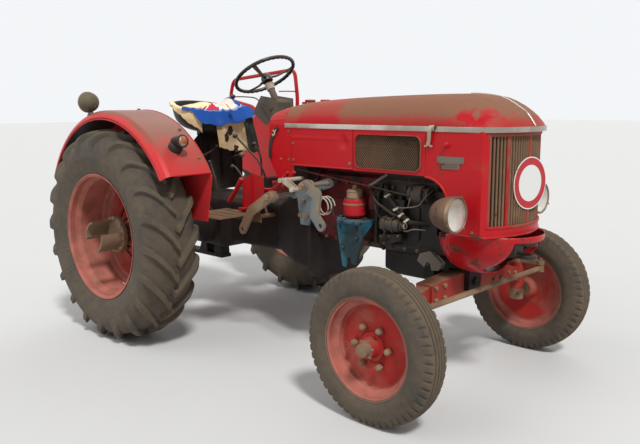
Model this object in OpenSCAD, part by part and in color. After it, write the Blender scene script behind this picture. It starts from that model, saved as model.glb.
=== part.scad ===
// Vintage farm tractor: open row-crop machine of about 40 horsepower.
// Inside the modules X runs forward from the rear axle, Y to the left and Z up from the ground.
// The finished tractor is moved so that its origin is under the middle of its length.

/* [Whole tractor] */
// Distance between the rear and the front axle
wheelbase = 2100; // [2050:10:2200]
// Reach of the bonnet's brow ahead of the front axle
front_overhang = 448; // [440:2:460]
// Distance between the middles of the rear tyres
rear_track = 1720; // [1700:10:1860]
// Distance between the middles of the front tyres
front_track = 1530; // [1510:10:1650]

/* [Rear wheels] */
// Diameter over the lugs
rear_tyre_d = 1380; // [1340:10:1400]
// Width over the sidewalls
rear_tyre_w = 370; // [340:5:400]
// Diameter over the rim's flanges
rear_rim_d = 820; // [780:10:860]
// Height of a lug over the casing
lug_height = 34; // [24:2:40]
// Width of a lug at its top
lug_width = 40; // [30:2:50]
// Lugs on each side of the tread
lug_count = 20; // [16:1:22]
// Angle by which a lug's shoulder end trails its middle end
lug_sweep = 17; // [10:1:20]
// Distance from the middle of the tyre inwards to the wheel disc
rear_disc_inset = 120; // [100:5:130]
// Diameter of the coupling flange on the hub
coupling_d = 240; // [220:5:260]
// Length of the curved coupling jaws
jaw_length = 150; // [100:10:160]

/* [Front wheels] */
// Diameter over the tread
front_tyre_d = 770; // [740:10:790]
// Width over the sidewalls
front_tyre_w = 165; // [150:5:180]
// Diameter over the rim's flanges
front_rim_d = 510; // [480:10:530]
// Depth of the tread grooves
groove_depth = 9; // [5:1:12]
// Pitch circle of the wheel nuts
front_nut_circle = 206; // [190:2:220]
// Wheel nuts on each front wheel
front_nuts = 6; // [5:1:8]

/* [Front axle] */
// Distance from the kingpin to the middle of the tyre
kingpin_offset = 145; // [140:5:160]
// Diameter of the kingpin
kingpin_d = 36; // [30:1:40]
// Outer diameter of the kingpin tube
kingpin_tube_d = 84; // [76:2:90]
// Height of the kingpin tube
kingpin_tube_h = 167; // [150:1:175]
// Length of the steering arms
steering_arm = 150; // [130:5:160]
// Diameter of the tie rod
tie_rod_d = 30; // [24:1:34]
// Diameter of the front wheel spindle
spindle_d = 44; // [36:1:46]
// Height of the middle of the axle beam
beam_z = 567; // [560:1:575]
// Height of the axle beam's section
beam_h = 125; // [110:5:130]

/* [Bonnet] */
// Half of the bonnet's width at the bright side strip
bonnet_half_w = 290; // [280:2:300]
// Height of the bright side strip
strip_z = 1410; // [1400:2:1420]
// Thickness of the bonnet's skins
skin = 4; // [3:0.5:6]
// Height of the side panels' lower edge
panel_low_z = 1170; // [1150:5:1190]
// Height of the grille opening's sill
grille_low_z = 925; // [915:5:940]
// Ribs across the grille
grille_ribs = 29; // [21:2:41]
// Diameter of the round sign on the grille
sign_d = 265; // [240:5:280]

/* [Fenders] */
// Radius of the fender's crown over the rear axle
fender_r = 810; // [790:5:830]
// Distance from the middle to the fender's inner wall
fender_inner_y = 620; // [610:5:640]
// Distance from the middle to the fender's outer lip
fender_outer_y = 955; // [930:5:980]
// Thickness of the fender's plate
fender_skin = 4; // [3:0.5:6]

/* [Driver's place] */
// Diameter of the steering wheel
steering_wheel_d = 440; // [400:5:460]
// Tilt of the steering column from the vertical
column_tilt = 32; // [28:1:36]
// Width of the seat pan
seat_w = 520; // [480:10:540]
// Height of the seat pan's rim at the back
seat_z = 1560; // [1540:5:1580]

/* [Lamps] */
// Diameter of the headlamp's rim
headlamp_d = 178; // [160:2:190]
// Distance from the middle to a headlamp's centre
headlamp_y = 430; // [420:5:440]
// Height of a headlamp's centre
headlamp_z = 1005; // [995:5:1020]

/* [Mower lift] */
// Width of the lift's flat bars
lift_bar_w = 62; // [50:2:70]
// Thickness of the lift's flat bars
lift_bar_t = 16; // [12:1:20]
// Distance from the middle to the lift's cranks
lift_y = 450; // [440:5:460]

/* [Hidden] */
$fn = 48;

// Clearances: a running fit, two faces that slide on each other, and a gap between trims
run_gap = 0.05;
seat_gap = 0.3;
trim_gap = 5;

rear_r = rear_tyre_d/2;
front_r = front_tyre_d/2;
nose_x = wheelbase + front_overhang;
fender_a0 = 32;
fender_a1 = 152;
mid_x = (nose_x + min(-rear_r, fender_r*cos(fender_a1)))/2;

// Colours
red = [0.62, 0.05, 0.07];
dark_red = [0.30, 0.03, 0.04];
dusty_red = [0.48, 0.27, 0.2];
tan_steel = [0.5, 0.42, 0.32];
rubber_grey = [0.29, 0.26, 0.22];
dark_iron = [0.09, 0.09, 0.09];
bright = [0.8, 0.8, 0.78];

module placed() translate([-mid_x, 0, 0]) children();

// A flat shape drawn in X and Z, made solid from y0 to y1
module slab_y(y0, y1) translate([0, y1, 0]) rotate([90, 0, 0]) linear_extrude(y1 - y0) children();

// A flat shape drawn in Y and Z, made solid from x0 to x1
module slab_x(x0, x1) translate([x0, 0, 0]) rotate([90, 0, 90]) linear_extrude(x1 - x0) children();

// A flat shape drawn in X and Y, made solid from z0 to z1
module slab_z(z0, z1) translate([0, 0, z0]) linear_extrude(z1 - z0) children();

// A profile of radius and distance along Y, turned about the Y axis
module turned_y() rotate([-90, 0, 0]) rotate_extrude($fn = 72) children();

module rod_x(x0, x1, d) translate([x0, 0, 0]) rotate([0, 90, 0]) cylinder(h = x1 - x0, d = d);
module rod_y(y0, y1, d) translate([0, y0, 0]) rotate([-90, 0, 0]) cylinder(h = y1 - y0, d = d);

// A round bar between two points
module rod(p, q, d) {
    v = q - p;
    translate(p) rotate([0, acos(v.z/norm(v)), atan2(v.y, v.x)]) cylinder(h = norm(v), d = d);
}

// A path with each corner rounded by a curve that leaves it at the given distance
function rounded_path(p, reach) = let (last = len(p) - 1) [p[0], for (i = [1:last - 1]) let (
    u = (p[i - 1] - p[i])/norm(p[i - 1] - p[i]), v = (p[i + 1] - p[i])/norm(p[i + 1] - p[i]))
    for (t = [0:0.25:1]) p[i] + reach*(pow(1 - t, 2)*u + pow(t, 2)*v), p[last]];

function unit(v) = v/norm(v);

// A round tube along a path, mitred at its corners; side is a direction that the path never runs along
module tube(path, d, side = [0, 1, 0], faces = 10) {
    last = len(path) - 1;
    rings = [for (i = [0:last]) let (into = unit(path[max(i, 1)] - path[max(i, 1) - 1]),
        out = unit(path[min(i, last - 1) + 1] - path[min(i, last - 1)]), way = into + out,
        u = unit(cross(side, way)), v = unit(cross(way, u)))
        [for (k = [0:faces - 1]) path[i] + d/2*(cos(360*k/faces)*u*2/norm(way) + sin(360*k/faces)*v)]];
    loft(rings);
}

// A flat bar with round ends between two points of X and Z
module flat_bar(p, q, w) {
    v = q - p;
    translate(p) rotate(atan2(v.y, v.x)) union() {
        translate([0, -w/2]) square([norm(v), w]);
        circle(d = w);
        translate([norm(v), 0]) circle(d = w);
    }
}

module mirrored(left) mirror([0, left ? 1 : 0, 0]) children();

// A ring of points in the plane X = x: a rectangle with rounded corners of radius r
function ring(x, half_w, low, high, r, n = 5) = [for (corner = [0:3]) for (k = [0:n - 1])
    let (a = 90*corner + 90*k/(n - 1), cy = corner == 0 || corner == 3 ? half_w - r : r - half_w,
        cz = corner < 2 ? high - r : low + r) [x, cy + r*cos(a), cz + r*sin(a)]];

// A closed body through rings of equal length, from the lowest X to the highest
module loft(rings) {
    n = len(rings[0]);
    last = len(rings) - 1;
    points = [for (one = rings) each one];
    sides = [for (i = [0:last - 1]) for (k = [0:n - 1]) let (m = (k + 1)%n)
        [i*n + k, (i + 1)*n + k, (i + 1)*n + m, i*n + m]];
    polyhedron(points, concat(sides, [[for (k = [0:n - 1]) k]], [[for (k = [n - 1:-1:0]) last*n + k]]));
}

// A closed skin between two grids of points with equal rows and columns
module skin_between(outer, inner) {
    rows = len(outer);
    cols = len(outer[0]);
    function id(side, r, c) = (side*rows + r)*cols + c;
    outside = [for (r = [0:rows - 2]) for (c = [0:cols - 2])
        [id(0, r, c), id(0, r + 1, c), id(0, r + 1, c + 1), id(0, r, c + 1)]];
    inside = [for (r = [0:rows - 2]) for (c = [0:cols - 2])
        [id(1, r, c + 1), id(1, r + 1, c + 1), id(1, r + 1, c), id(1, r, c)]];
    ends = [for (c = [0:cols - 2]) each [[id(0, 0, c), id(0, 0, c + 1), id(1, 0, c + 1), id(1, 0, c)],
        [id(0, rows - 1, c + 1), id(0, rows - 1, c), id(1, rows - 1, c), id(1, rows - 1, c + 1)]]];
    edges = [for (r = [0:rows - 2]) each [[id(0, r + 1, 0), id(0, r, 0), id(1, r, 0), id(1, r + 1, 0)],
        [id(0, r, cols - 1), id(0, r + 1, cols - 1), id(1, r + 1, cols - 1), id(1, r, cols - 1)]]];
    polyhedron(concat([for (row = outer) each row], [for (row = inner) each row]),
        concat(outside, inside, ends, edges));
}

// Engine: crankcase, head and sump between the bell housing and the front frame
engine_x0 = 1160;
engine_x1 = wheelbase - 60;
engine_half_w = 165;
head_half_w = engine_half_w - 35;
head_z = 1290;
crank_z = 800;
block_low_z = 700;
sump_z = 560;
sump_x0 = 1640;
seam_out = 8;
hose_z = 1004;
fan_x = engine_x1 + 80;
fan_z = 1130;
fan_r = 180; // [170:5:185]
fan_blades = 5;
fan_blade_w = 74;
fan_pitch = 62;
filter_x = 1506;
filter_z = 890;

module engine() color(dark_iron) placed() {
    slab_x(engine_x0, engine_x1) polygon([[-engine_half_w + 50, block_low_z], [engine_half_w - 50, block_low_z],
        [engine_half_w, block_low_z + 50], [engine_half_w, 1110], [head_half_w, 1130], [head_half_w, head_z],
        [-head_half_w, head_z], [-head_half_w, 1130], [-engine_half_w, 1110],
        [-engine_half_w, block_low_z + 50]]);
    // Sump, rocker cover and timing cover
    loft([ring(sump_x0, 100, sump_z + 20, block_low_z + 10, 20), ring(sump_x0 + 80, 110, sump_z,
        block_low_z + 10, 25), ring(engine_x1 - 120, 110, sump_z, block_low_z + 10, 25),
        ring(engine_x1 - 60, 100, sump_z + 20, block_low_z + 10, 20)]);
    loft([ring(engine_x0 + 80, 85, head_z - 10, head_z + 50, 18), ring(engine_x0 + 110, 95, head_z - 10,
        head_z + 70, 24), ring(engine_x1 - 110, 95, head_z - 10, head_z + 70, 24),
        ring(engine_x1 - 80, 85, head_z - 10, head_z + 50, 18)]);
    translate([0, 0, crank_z + 70]) rod_x(engine_x1 - 10, engine_x1 + 45, 150);
    engine_seams();
    engine_fan();
    right_fittings();
    engine_pipes();
    exhaust();
}

// Joint flanges round the block, the side cover with its rim, and the plate towards the bell housing
module engine_seams() {
    for (seam = [[block_low_z + 50, engine_half_w], [1108, engine_half_w], [head_z - 6, head_half_w]])
        slab_z(seam[0] - 6, seam[0] + 6) translate([engine_x0, -seam[1] - seam_out])
            square([engine_x1 - engine_x0, 2*(seam[1] + seam_out)]);
    for (side = [-1, 1]) translate([engine_x0 + 90, side*engine_half_w, block_low_z + 110])
        rotate([90, 0, 0]) linear_extrude(2*seam_out, center = true) offset(r = 20)
            square([engine_x1 - engine_x0 - 220, 150]);
    slab_x(engine_x0, engine_x0 + 16) polygon([[-engine_half_w - 20, block_low_z + 60],
        [engine_half_w + 20, block_low_z + 60], [engine_half_w + 20, 1080], [engine_half_w - 20, 1160],
        [-engine_half_w + 20, 1160], [-engine_half_w - 20, 1080]]);
}

// Water pump with the belt pulley and the fan in front of the block
module engine_fan() translate([0, 0, fan_z]) {
    rod_x(engine_x1 - 10, fan_x + 20, 40);
    rod_x(engine_x1 - 10, engine_x1 + 20, 90);
    rod_x(fan_x - 36, fan_x - 8, 116);
    for (k = [0:fan_blades - 1]) rotate([360*k/fan_blades, 0, 0]) translate([fan_x, 0, 16])
        rotate([0, 0, fan_pitch - 90]) translate([-2, -fan_blade_w/2, 0]) cube([4, fan_blade_w, fan_r - 16]);
    rod_x(fan_x - 6, fan_x + 6, 70);
}

// Oil filter, starter, pump and dynamo along the block's right side
module right_fittings() {
    y = -engine_half_w;
    translate([filter_x, y - 56, filter_z]) rotate_extrude() polygon([[0, 0], [54, 0], [64, 12], [64, 96],
        [58, 106], [44, 110], [44, 148], [36, 156], [12, 156], [12, 168], [0, 168]]);
    for (one = [
        // first x, last x, distance from the block, height, diameter
        [1698, 1832, 34, 868, 76],
        [1722, 1734, 34, 868, 90],
        [1776, 1786, 34, 868, 90],
        [1832, 1846, 34, 868, 42],
        [1893, 1985, 34, 1052, 92],
        [1902, 1912, 34, 1052, 100],
        [1985, 2016, 34, 1052, 30],
        [2000, 2016, 34, 1052, 78]]) translate([0, y - one[2], one[3]]) rod_x(one[0], one[1], one[4]);
    slab_y(y - 52, y + 5) polygon([[1678, 806], [1836, 822], [1838, 790], [1706, 738], [1682, 760]]);
    slab_y(y - 60, y + 5) translate([filter_x - 34, filter_z + 30]) square([68, 40]);
    slab_y(y - 40, y + 5) translate([1600, 940]) square([250, 70]);
    for (k = [0:3]) translate([1640 + 58*k, y - 22, 1005]) cylinder(h = 30, d = 26);
}

// Pipes and the throttle rod, which leave the block and come back to it
module engine_pipes() {
    side = -engine_half_w;
    for (one = [
        // diameter, points with Y from the block's side
        [26, [[1678, 15, 1058], [1678, -50, 1046], [1670, -55, 900], [1658, -50, 770], [1670, 15, 712]]],
        [16, [[1606, 15, 1075], [1640, -71, 1040], [1690, -83, 989], [1806, -75, 927], [1850, 15, 905]]],
        [30, [[1690, 15, 1088], [1724, -47, 1050], [1828, -49, 936], [1892, -43, 892], [2000, 15, 888]]],
        [14, [[1620, -71, 1066], [1690, -40, 1094], [1770, 45, 1124]]],
        [9, [[1081, -97, 1140], [1463, -97, 1098], [1657, -97, 1079], [1915, -90, 1046], [1935, 15, 1040]]]])
        translate([0, side, 0]) tube(rounded_path(one[1], 18), one[0], [0.35, 0, 1]);
    tube(rounded_path([for (p = [[engine_x1 - 20, 1050], [engine_x1 + 45, 1050], [engine_x1 + 75, hose_z],
        [radiator_x - seat_gap, hose_z]]) [p.x, -160, p.y]], 24), 40);
}

// Exhaust manifold and its pipe on the left
module exhaust() {
    y = head_half_w;
    translate([0, y + 46, 1190]) rod_x(engine_x0 + 120, engine_x1 - 130, 62);
    for (k = [0:2]) translate([engine_x0 + 190 + k*230, 0, 1190]) rod_y(y - 5, y + 40, 58);
    translate([engine_x0 + 260, y + 46, 640]) difference() {
        cylinder(h = 550, d = 56);
        translate([0, 0, -1]) cylinder(h = 120, d = 48);
    }
}

// Gearbox and bell housing, in one casting from the rear axle to the engine
gearbox_half_w = 132;
rear_case_half_w = 170;
bell_half_w = 232;
gearbox_table = [
    // x, half width, low, high, corner radius
    [-260, 130, 560, 850, 40],
    [-210, rear_case_half_w, 520, 900, 50],
    [200, rear_case_half_w, 520, 900, 50],
    [270, gearbox_half_w, 560, 880, 40],
    [760, gearbox_half_w, 570, 880, 40],
    [960, 190, 500, 1010, 70],
    [engine_x0 - 35, 215, 470, 1060, 90],
    [engine_x0 - 34, bell_half_w, 455, 1080, 90],
    [engine_x0, bell_half_w, 455, 1080, 90]];

module gearbox() color(dark_red) placed()
    loft([for (s = gearbox_table) ring(s[0], s[1], s[2], s[3], s[4])]);

// Rear axle: a trumpet on each side with a brake drum and the wheel shaft's bearing
trumpet_y = rear_case_half_w + seat_gap;
drum_y = 430;
axle_end_y = rear_track/2 - 255;
shaft_d = 70;

module rear_axle_housing() color(dark_red) placed() for (left = [false, true]) mirrored(left)
    translate([0, 0, rear_r]) difference() {
        union() {
            mirror([0, 1, 0]) turned_y() polygon([[0, trumpet_y], [150, trumpet_y], [150, trumpet_y + 25],
                [115, trumpet_y + 50], [90, drum_y - 70], [150, drum_y - 60], [160, drum_y - 45],
                [160, drum_y + 60], [150, drum_y + 70], [90, drum_y + 80], [75, axle_end_y], [0, axle_end_y]]);
            // Post and arm that carry the fender's inner wall
            slab_y(-drum_y - 40, -drum_y + 10) translate([-50, 150]) square([100, 120]);
            slab_y(-fender_inner_y + fender_skin + seat_gap, -drum_y) translate([-50, 250]) square([100, 20]);
        }
        rod_y(-axle_end_y - 1, -drum_y, shaft_d + 2*run_gap);
    }

// Front frame: side rails, the axle's pivot bracket and the cross member that carries the nose
rail_y = 150;
rail_z0 = 735;
rail_z1 = 835;
pivot_d = 46;
beam_x0 = wheelbase - 50;
beam_x1 = wheelbase + 50;
pivot_z = beam_z + 10;
ear_t = 12;

module front_frame() color(dark_red) placed() {
    for (side = [-1, 1]) slab_x(engine_x1 + seat_gap, wheelbase + 225) translate([side*rail_y - 27, rail_z0])
        square([54, rail_z1 - rail_z0]);
    slab_z(rail_z0, rail_z0 + 25) translate([engine_x1 + 5, -rail_y]) square([160, 2*rail_y]);
    slab_z(rail_z0 + 5, rail_z1 - 5) translate([wheelbase + 175, -rail_y]) square([50, 2*rail_y]);
    difference() {
        slab_y(-60, 60) polygon([[engine_x1 + 5, rail_z0 + 10], [beam_x1 + 40, rail_z0 + 10],
            [beam_x1 + 30, pivot_z - 45], [beam_x0 - 35, pivot_z - 45], [beam_x0 - 35, block_low_z - 10],
            [engine_x1 + 5, block_low_z - 10]]);
        slab_x(beam_x0 - seat_gap, beam_x1 + seat_gap) translate([-61, pivot_z - 60])
            square([122, beam_h/2 + 60 + trim_gap]);
    }
    translate([0, 0, pivot_z]) rod_x(beam_x0 - 45, beam_x1 + 45, pivot_d);
    // Ears that the chin apron is bolted to
    for (side = [-1, 1]) slab_x(chin_x - 12, chin_x + 12) polygon([[side*rail_y, rail_z1],
        [side*rail_y, rail_z1 - ear_t], [side*chin_inner_y(rail_z1 - ear_t), rail_z1 - ear_t],
        [side*chin_inner_y(rail_z1), rail_z1]]);
}

// Radiator: core between a top and a bottom tank, on the front frame
radiator_x = wheelbase + 100;
core_z0 = rail_z1 + seat_gap + 60;

module radiator() color(dark_iron) placed() {
    slab_x(radiator_x, radiator_x + 90) translate([-225, core_z0]) square([450, strip_z - 110 - core_z0]);
    slab_x(radiator_x - 15, radiator_x + 105) translate([-235, rail_z1 + seat_gap]) square([470, 60]);
    loft([for (x = [radiator_x - 15, radiator_x + 105]) ring(x, 235, strip_z - 125, strip_z - 35, 25)]);
}

// Bonnet lid: each section is an arch over the bright strip, whose crest follows the table
lid_x0 = 1005;
lid_x1 = nose_x - 48;
lid_table = [
    // share of the way from the lid's rear edge to the brow, crest over the strip, share of the half
    // width, share of the way from a full arch to a pointed one
    [0, 128, 1, 0],
    [0.157, 148, 1, 0],
    [0.331, 161, 1, 0],
    [0.572, 171, 1, 0],
    [0.732, 173, 1, 0],
    [0.8, 170, 1, 0.2],
    [0.853, 160, 0.995, 0.41],
    [0.886, 144, 0.988, 0.55],
    [0.913, 124, 0.979, 0.65],
    [0.933, 106, 0.924, 0.73],
    [0.953, 87, 0.814, 0.81],
    [0.97, 67, 0.676, 0.88],
    [0.985, 39, 0.493, 0.94],
    [0.995, 18, 0.293, 0.98],
    [1, 9, 0.1, 1]];
arch_steps = 8;

function arch(x, half_w, crest, base, point) = [for (k = [0:2*arch_steps])
    let (a = 180*k/(2*arch_steps), c = cos(a), s = sin(a))
        [x, half_w*sign(c)*pow(abs(c), 0.72 + 0.38*point), base + crest*pow(s, 0.8 + point)]];

module dome(table, x0, x1, base) skin_between(
    [for (s = table) arch(x0 + s[0]*(x1 - x0), bonnet_half_w*s[2], s[1], base, s[3])],
    [for (s = table) arch(x0 + s[0]*(x1 - x0 - skin), max(bonnet_half_w*s[2] - skin, 4), max(s[1] - skin, 4),
        base, s[3])]);

hinge_z = strip_z + 128 + 14;
module bonnet_lid() color(dusty_red) placed() {
    dome(lid_table, lid_x0, lid_x1, strip_z);
    for (side = [-1, 1]) translate([lid_x0, side*70, hinge_z]) {
        difference() {
            union() {
                rod_y(-25, 25, 16);
                translate([2, -25, -17]) cube([34, 50, 11]);
            }
            rod_y(-26, 26, 8 + 2*run_gap);
        }
    }
}

// Bright strip round the lid's lower edge, with the latch hooks' seat, fixed to the panels
function plan_x(share) = lid_x0 + share*(lid_x1 - lid_x0);

module side_strip() color(bright) placed() difference() {
    slab_z(strip_z - 14, strip_z - 1) polygon(concat([for (s = lid_table) [plan_x(s[0]), -bonnet_half_w*s[2]]],
        [for (i = [len(lid_table) - 1:-1:0]) [plan_x(lid_table[i][0]), bonnet_half_w*lid_table[i][2]]]));
    slab_z(strip_z - 15, strip_z) polygon(concat(
        [for (s = lid_table) [plan_x(s[0]) - 12, -max(bonnet_half_w*s[2] - 8, 2)]],
        [for (i = [len(lid_table) - 1:-1:0]) [plan_x(lid_table[i][0]) - 12,
            max(bonnet_half_w*lid_table[i][2] - 8, 2)]]));
}

// Side panels under the strip, with the mesh opening in the front half
panel_x0 = 1056;
panel_x1 = wheelbase - 57;
panel_top = strip_z - 14 - seat_gap;
mesh_x1 = panel_x1 - 27;
mesh_x0 = mesh_x1 - 449;
mesh_z0 = 1180;
mesh_z1 = 1366;

module rounded_square(x0, z0, x1, z1, r) {
    translate([x0 + r, z0]) square([x1 - x0 - 2*r, z1 - z0]);
    translate([x0, z0 + r]) square([x1 - x0, z1 - z0 - 2*r]);
    for (x = [x0 + r, x1 - r]) for (z = [z0 + r, z1 - r]) translate([x, z]) circle(r);
}

module side_panel(left) color(red) placed() mirrored(left) {
    slab_y(-bonnet_half_w, -bonnet_half_w + skin) difference() {
        translate([panel_x0, panel_low_z]) square([panel_x1 - panel_x0, panel_top - panel_low_z]);
        rounded_square(mesh_x0, mesh_z0, mesh_x1, mesh_z1, 40);
    }
    slab_y(-bonnet_half_w + 1, -bonnet_half_w + 22) translate([panel_x0, panel_low_z])
        square([panel_x1 - panel_x0, skin]);
    // Mesh: thin upright and level wires in the opening
    for (x = [mesh_x0 + 18:26:mesh_x1 - 6]) slab_y(-bonnet_half_w + 1, -bonnet_half_w + 3)
        translate([x, mesh_z0 - 4]) square([3, mesh_z1 - mesh_z0 + 8]);
    for (z = [mesh_z0 + 22:26:mesh_z1 - 6]) slab_y(-bonnet_half_w + 1, -bonnet_half_w + 3)
        translate([mesh_x0 - 4, z]) square([mesh_x1 - mesh_x0 + 8, 3]);
}
module side_panel_right() side_panel(false);
module side_panel_left() side_panel(true);

// Nose shell: two cheeks bowed round to the grille, with an arch cut out behind each headlamp
nose_bow_r = 462;
nose_bow_x = nose_x - 70 - nose_bow_r;
nose_low_z = 875;
grille_half_w = 262;
grille_high_z = 1380;
arch_x = wheelbase - 60;

module nose_plan(inset) intersection() {
    translate([panel_x1 + 2, -bonnet_half_w + inset]) square([700, 2*(bonnet_half_w - inset)]);
    translate([nose_bow_x, 0]) circle(nose_bow_r - inset, $fn = 96);
}

module nose_shell() color(red) placed() difference() {
    slab_z(nose_low_z, panel_top) difference() {
        nose_plan(0);
        nose_plan(skin);
        translate([panel_x1 - 1, -bonnet_half_w + skin]) square([skin + 10, 2*(bonnet_half_w - skin)]);
    }
    slab_x(nose_x - 260, nose_x) translate([-grille_half_w, grille_low_z])
        square([2*grille_half_w, grille_high_z - grille_low_z]);
    slab_y(-bonnet_half_w - 1, bonnet_half_w + 1) union() {
        translate([arch_x, panel_low_z - 160]) circle(150);
        translate([arch_x - 200, nose_low_z - 10]) square([350, panel_low_z - 150 - nose_low_z]);
    }
}

// Grille: upright ribs on a bow between two rails, with three broad bars
module grille() color(tan_steel) placed() intersection() {
    slab_z(grille_low_z - 8, grille_high_z + 8) nose_plan(skin + 1);
    union() {
        slab_z(grille_low_z - 8, grille_high_z + 8) difference() {
            union() {
                for (i = [0:grille_ribs - 1]) let (y = -grille_half_w + 12 + i*(2*grille_half_w - 24)/(grille_ribs - 1))
                    translate([nose_x - 200, y - 3]) square([300, 6]);
                for (y = [-160, 0, 160]) translate([nose_x - 200, y - 11]) square([300, 22]);
            }
            nose_plan(skin + 18);
        }
        for (z = [grille_low_z - 8, grille_high_z - 6]) slab_z(z, z + 14) difference() {
            translate([nose_x - 200, -grille_half_w - 6]) square([300, 2*grille_half_w + 12]);
            nose_plan(skin + 22);
        }
    }
}

// Chin apron: a bowl under the grille, open at the back and notched for the towing jaw
chin_reach = 340;
chin_half_w = 272;
chin_depth = 238;
chin_x = nose_x - chin_reach;
chin_lip_z = nose_low_z - seat_gap;
notch_half_w = 150;

function chin_point(a, tilt, reach, half_w, depth) =
    [chin_x + reach*cos(a)*cos(tilt), half_w*sin(a)*cos(tilt), chin_lip_z - depth*sin(tilt)];
// Half the width between the apron's walls at a height, less a running gap
function chin_inner_y(z) = (chin_half_w - skin)*cos(asin((chin_lip_z - z)/(chin_depth - skin))) - 2 - seat_gap;

module chin_apron() color(red) placed() difference() {
    skin_between(
        [for (tilt = [0:9:81]) [for (a = [-105:15:105]) chin_point(a, tilt, chin_reach, chin_half_w, chin_depth)]],
        [for (tilt = [0:9:81]) [for (a = [-105:15:105]) chin_point(a, tilt, chin_reach - skin, chin_half_w - skin,
            chin_depth - skin)]]);
    slab_y(-notch_half_w, notch_half_w) translate([chin_x + 100, chin_lip_z - 400]) square([400, 365]);
}

// Round sign, wired to the grille
sign_z = 1135;
sign_yaw = 8;
module round_sign() color("white") placed()
    translate([nose_bow_x + (nose_bow_r - skin - 1 + seat_gap)/cos(sign_yaw), 0, sign_z]) rotate([0, 0, -sign_yaw])
        rod_x(0, 3, sign_d);

// Cowl: side plates, the dash towards the driver and a dome that carries on the bonnet's line
cowl_x0 = 862;
cowl_x1 = lid_x0 - trim_gap;
wheel_hub = [537, 0, 1681];
column_dir = [sin(column_tilt), 0, -cos(column_tilt)];
column_d = 46;
cowl_low_z = wheel_hub.z - (cowl_x0 - wheel_hub.x)/tan(column_tilt) + column_d/2/sin(column_tilt) + 2*trim_gap;
cowl_table = [[0, 98, 0.985, 0], [0.5, 116, 0.995, 0], [1, 127, 1, 0]];

module cowl() color(red) placed() {
    dome(cowl_table, cowl_x0, cowl_x1, strip_z - 1);
    for (side = [-1, 1]) slab_y(side*(bonnet_half_w - skin/2) - skin/2, side*(bonnet_half_w - skin/2) + skin/2)
        polygon([[cowl_x0, strip_z], [cowl_x1, strip_z], [cowl_x1, panel_top], [panel_x0 - 2, panel_top],
            [panel_x0 - 2, 1050], [panel_x0 - 100, 1050], [cowl_x0, 1190]]);
    slab_x(cowl_x0, cowl_x0 + skin) translate([-bonnet_half_w + 1, cowl_low_z]) square([2*bonnet_half_w - 2,
        strip_z - cowl_low_z]);
    // Hinge knuckles that hold the lid
    for (side = [-1, 1]) for (end = [-1, 1]) translate([lid_x0, side*70 + end*33, hinge_z]) {
        rod_y(-7, 7, 16);
        translate([-34, -7, -19]) cube([32, 14, 13]);
    }
    for (side = [-1, 1]) translate([lid_x0, side*70, hinge_z]) rod_y(-38, 38, 8);
}

// Steering column: box on the cowl, the tube and a collar, along the tilted axis
module along_column(s) translate(wheel_hub + s*column_dir) rotate([0, 180 - column_tilt, 0]) children();

steer_shaft_d = 22;
steer_shaft_l = 75;
module steering_column() color([0.2, 0.19, 0.17]) placed() difference() {
    union() {
        along_column(30) cylinder(h = 640, d = column_d);
        along_column(12) cylinder(h = 45, d = 60);
        slab_y(-95, 95) polygon([[478, 1470], [560, 1575], [700, 1560], [705, 1450], [600, 1400]]);
        // Steering gear on the gearbox's slope
        slab_y(-60, 60) polygon([[850, 938.5 + seat_gap], [950, 1003.5 + seat_gap], [960, 1110], [930, 1160],
            [850, 1130]]);
    }
    along_column(11) cylinder(h = steer_shaft_l - 6, d = steer_shaft_d + 2*run_gap);
}

// Steering wheel: rim, three dished spokes and hub
rim_grip_d = 26;
module steering_wheel() color(dark_iron) placed() translate(wheel_hub) rotate([0, -column_tilt, 0]) {
    translate([0, 0, 58]) rotate_extrude($fn = 72) translate([steering_wheel_d/2 - rim_grip_d/2, 0])
        circle(d = rim_grip_d, $fn = 24);
    translate([0, 0, -steer_shaft_l]) cylinder(h = steer_shaft_l + 5, d = steer_shaft_d);
    cylinder(h = 34, d = 76);
    translate([0, 0, 34]) cylinder(h = 16, d1 = 76, d2 = 40);
    for (a = [60, 180, 300]) rotate(a) rotate([0, -15.5, 0]) translate([20, -14, 8])
        cube([steering_wheel_d/2 - 34, 28, 10]);
}

// Seat: a deep pan on a sprung stalk
pan_x = -135;
pan_depth = 190;
pan_foot = 0.3;
pan_tilt = 110;
pan_table = [
    // depth under the rim, share of the rim's radius
    [0, 1], [45, 0.99], [100, 0.93], [145, 0.8], [172, 0.6], [pan_depth, pan_foot]];
pan_steps = 24;
module seat_pan() color(dark_iron) placed() difference() {
    loft_z([for (i = [len(pan_table) - 1:-1:0]) pan_loop(pan_table[i], 0)]);
    loft_z([for (i = [len(pan_table) - 1:-1:0]) pan_loop(pan_table[i], skin), pan_loop([-30, 1], skin)]);
}
function pan_loop(s, inset) = [for (k = [0:pan_steps - 1]) let (a = 360*k/pan_steps)
    [pan_x + (s[1]*0.48*seat_w - inset)*cos(a), (s[1]*seat_w/2 - inset)*sin(a),
        seat_z - s[0] + (s[0] > 100 ? inset : inset > 0 && s[0] < 0 ? 1 : 0)
            - pan_tilt*(0.5 + 0.5*cos(a))*s[1]]];

// A closed body through level rings, from the lowest to the highest
module loft_z(rings) {
    n = len(rings[0]);
    last = len(rings) - 1;
    sides = [for (i = [0:last - 1]) for (k = [0:n - 1]) let (m = (k + 1)%n)
        [i*n + k, (i + 1)*n + k, (i + 1)*n + m, i*n + m]];
    polyhedron([for (one = rings) each one],
        concat(sides, [[for (k = [0:n - 1]) k]], [[for (k = [n - 1:-1:0]) last*n + k]]));
}

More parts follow.
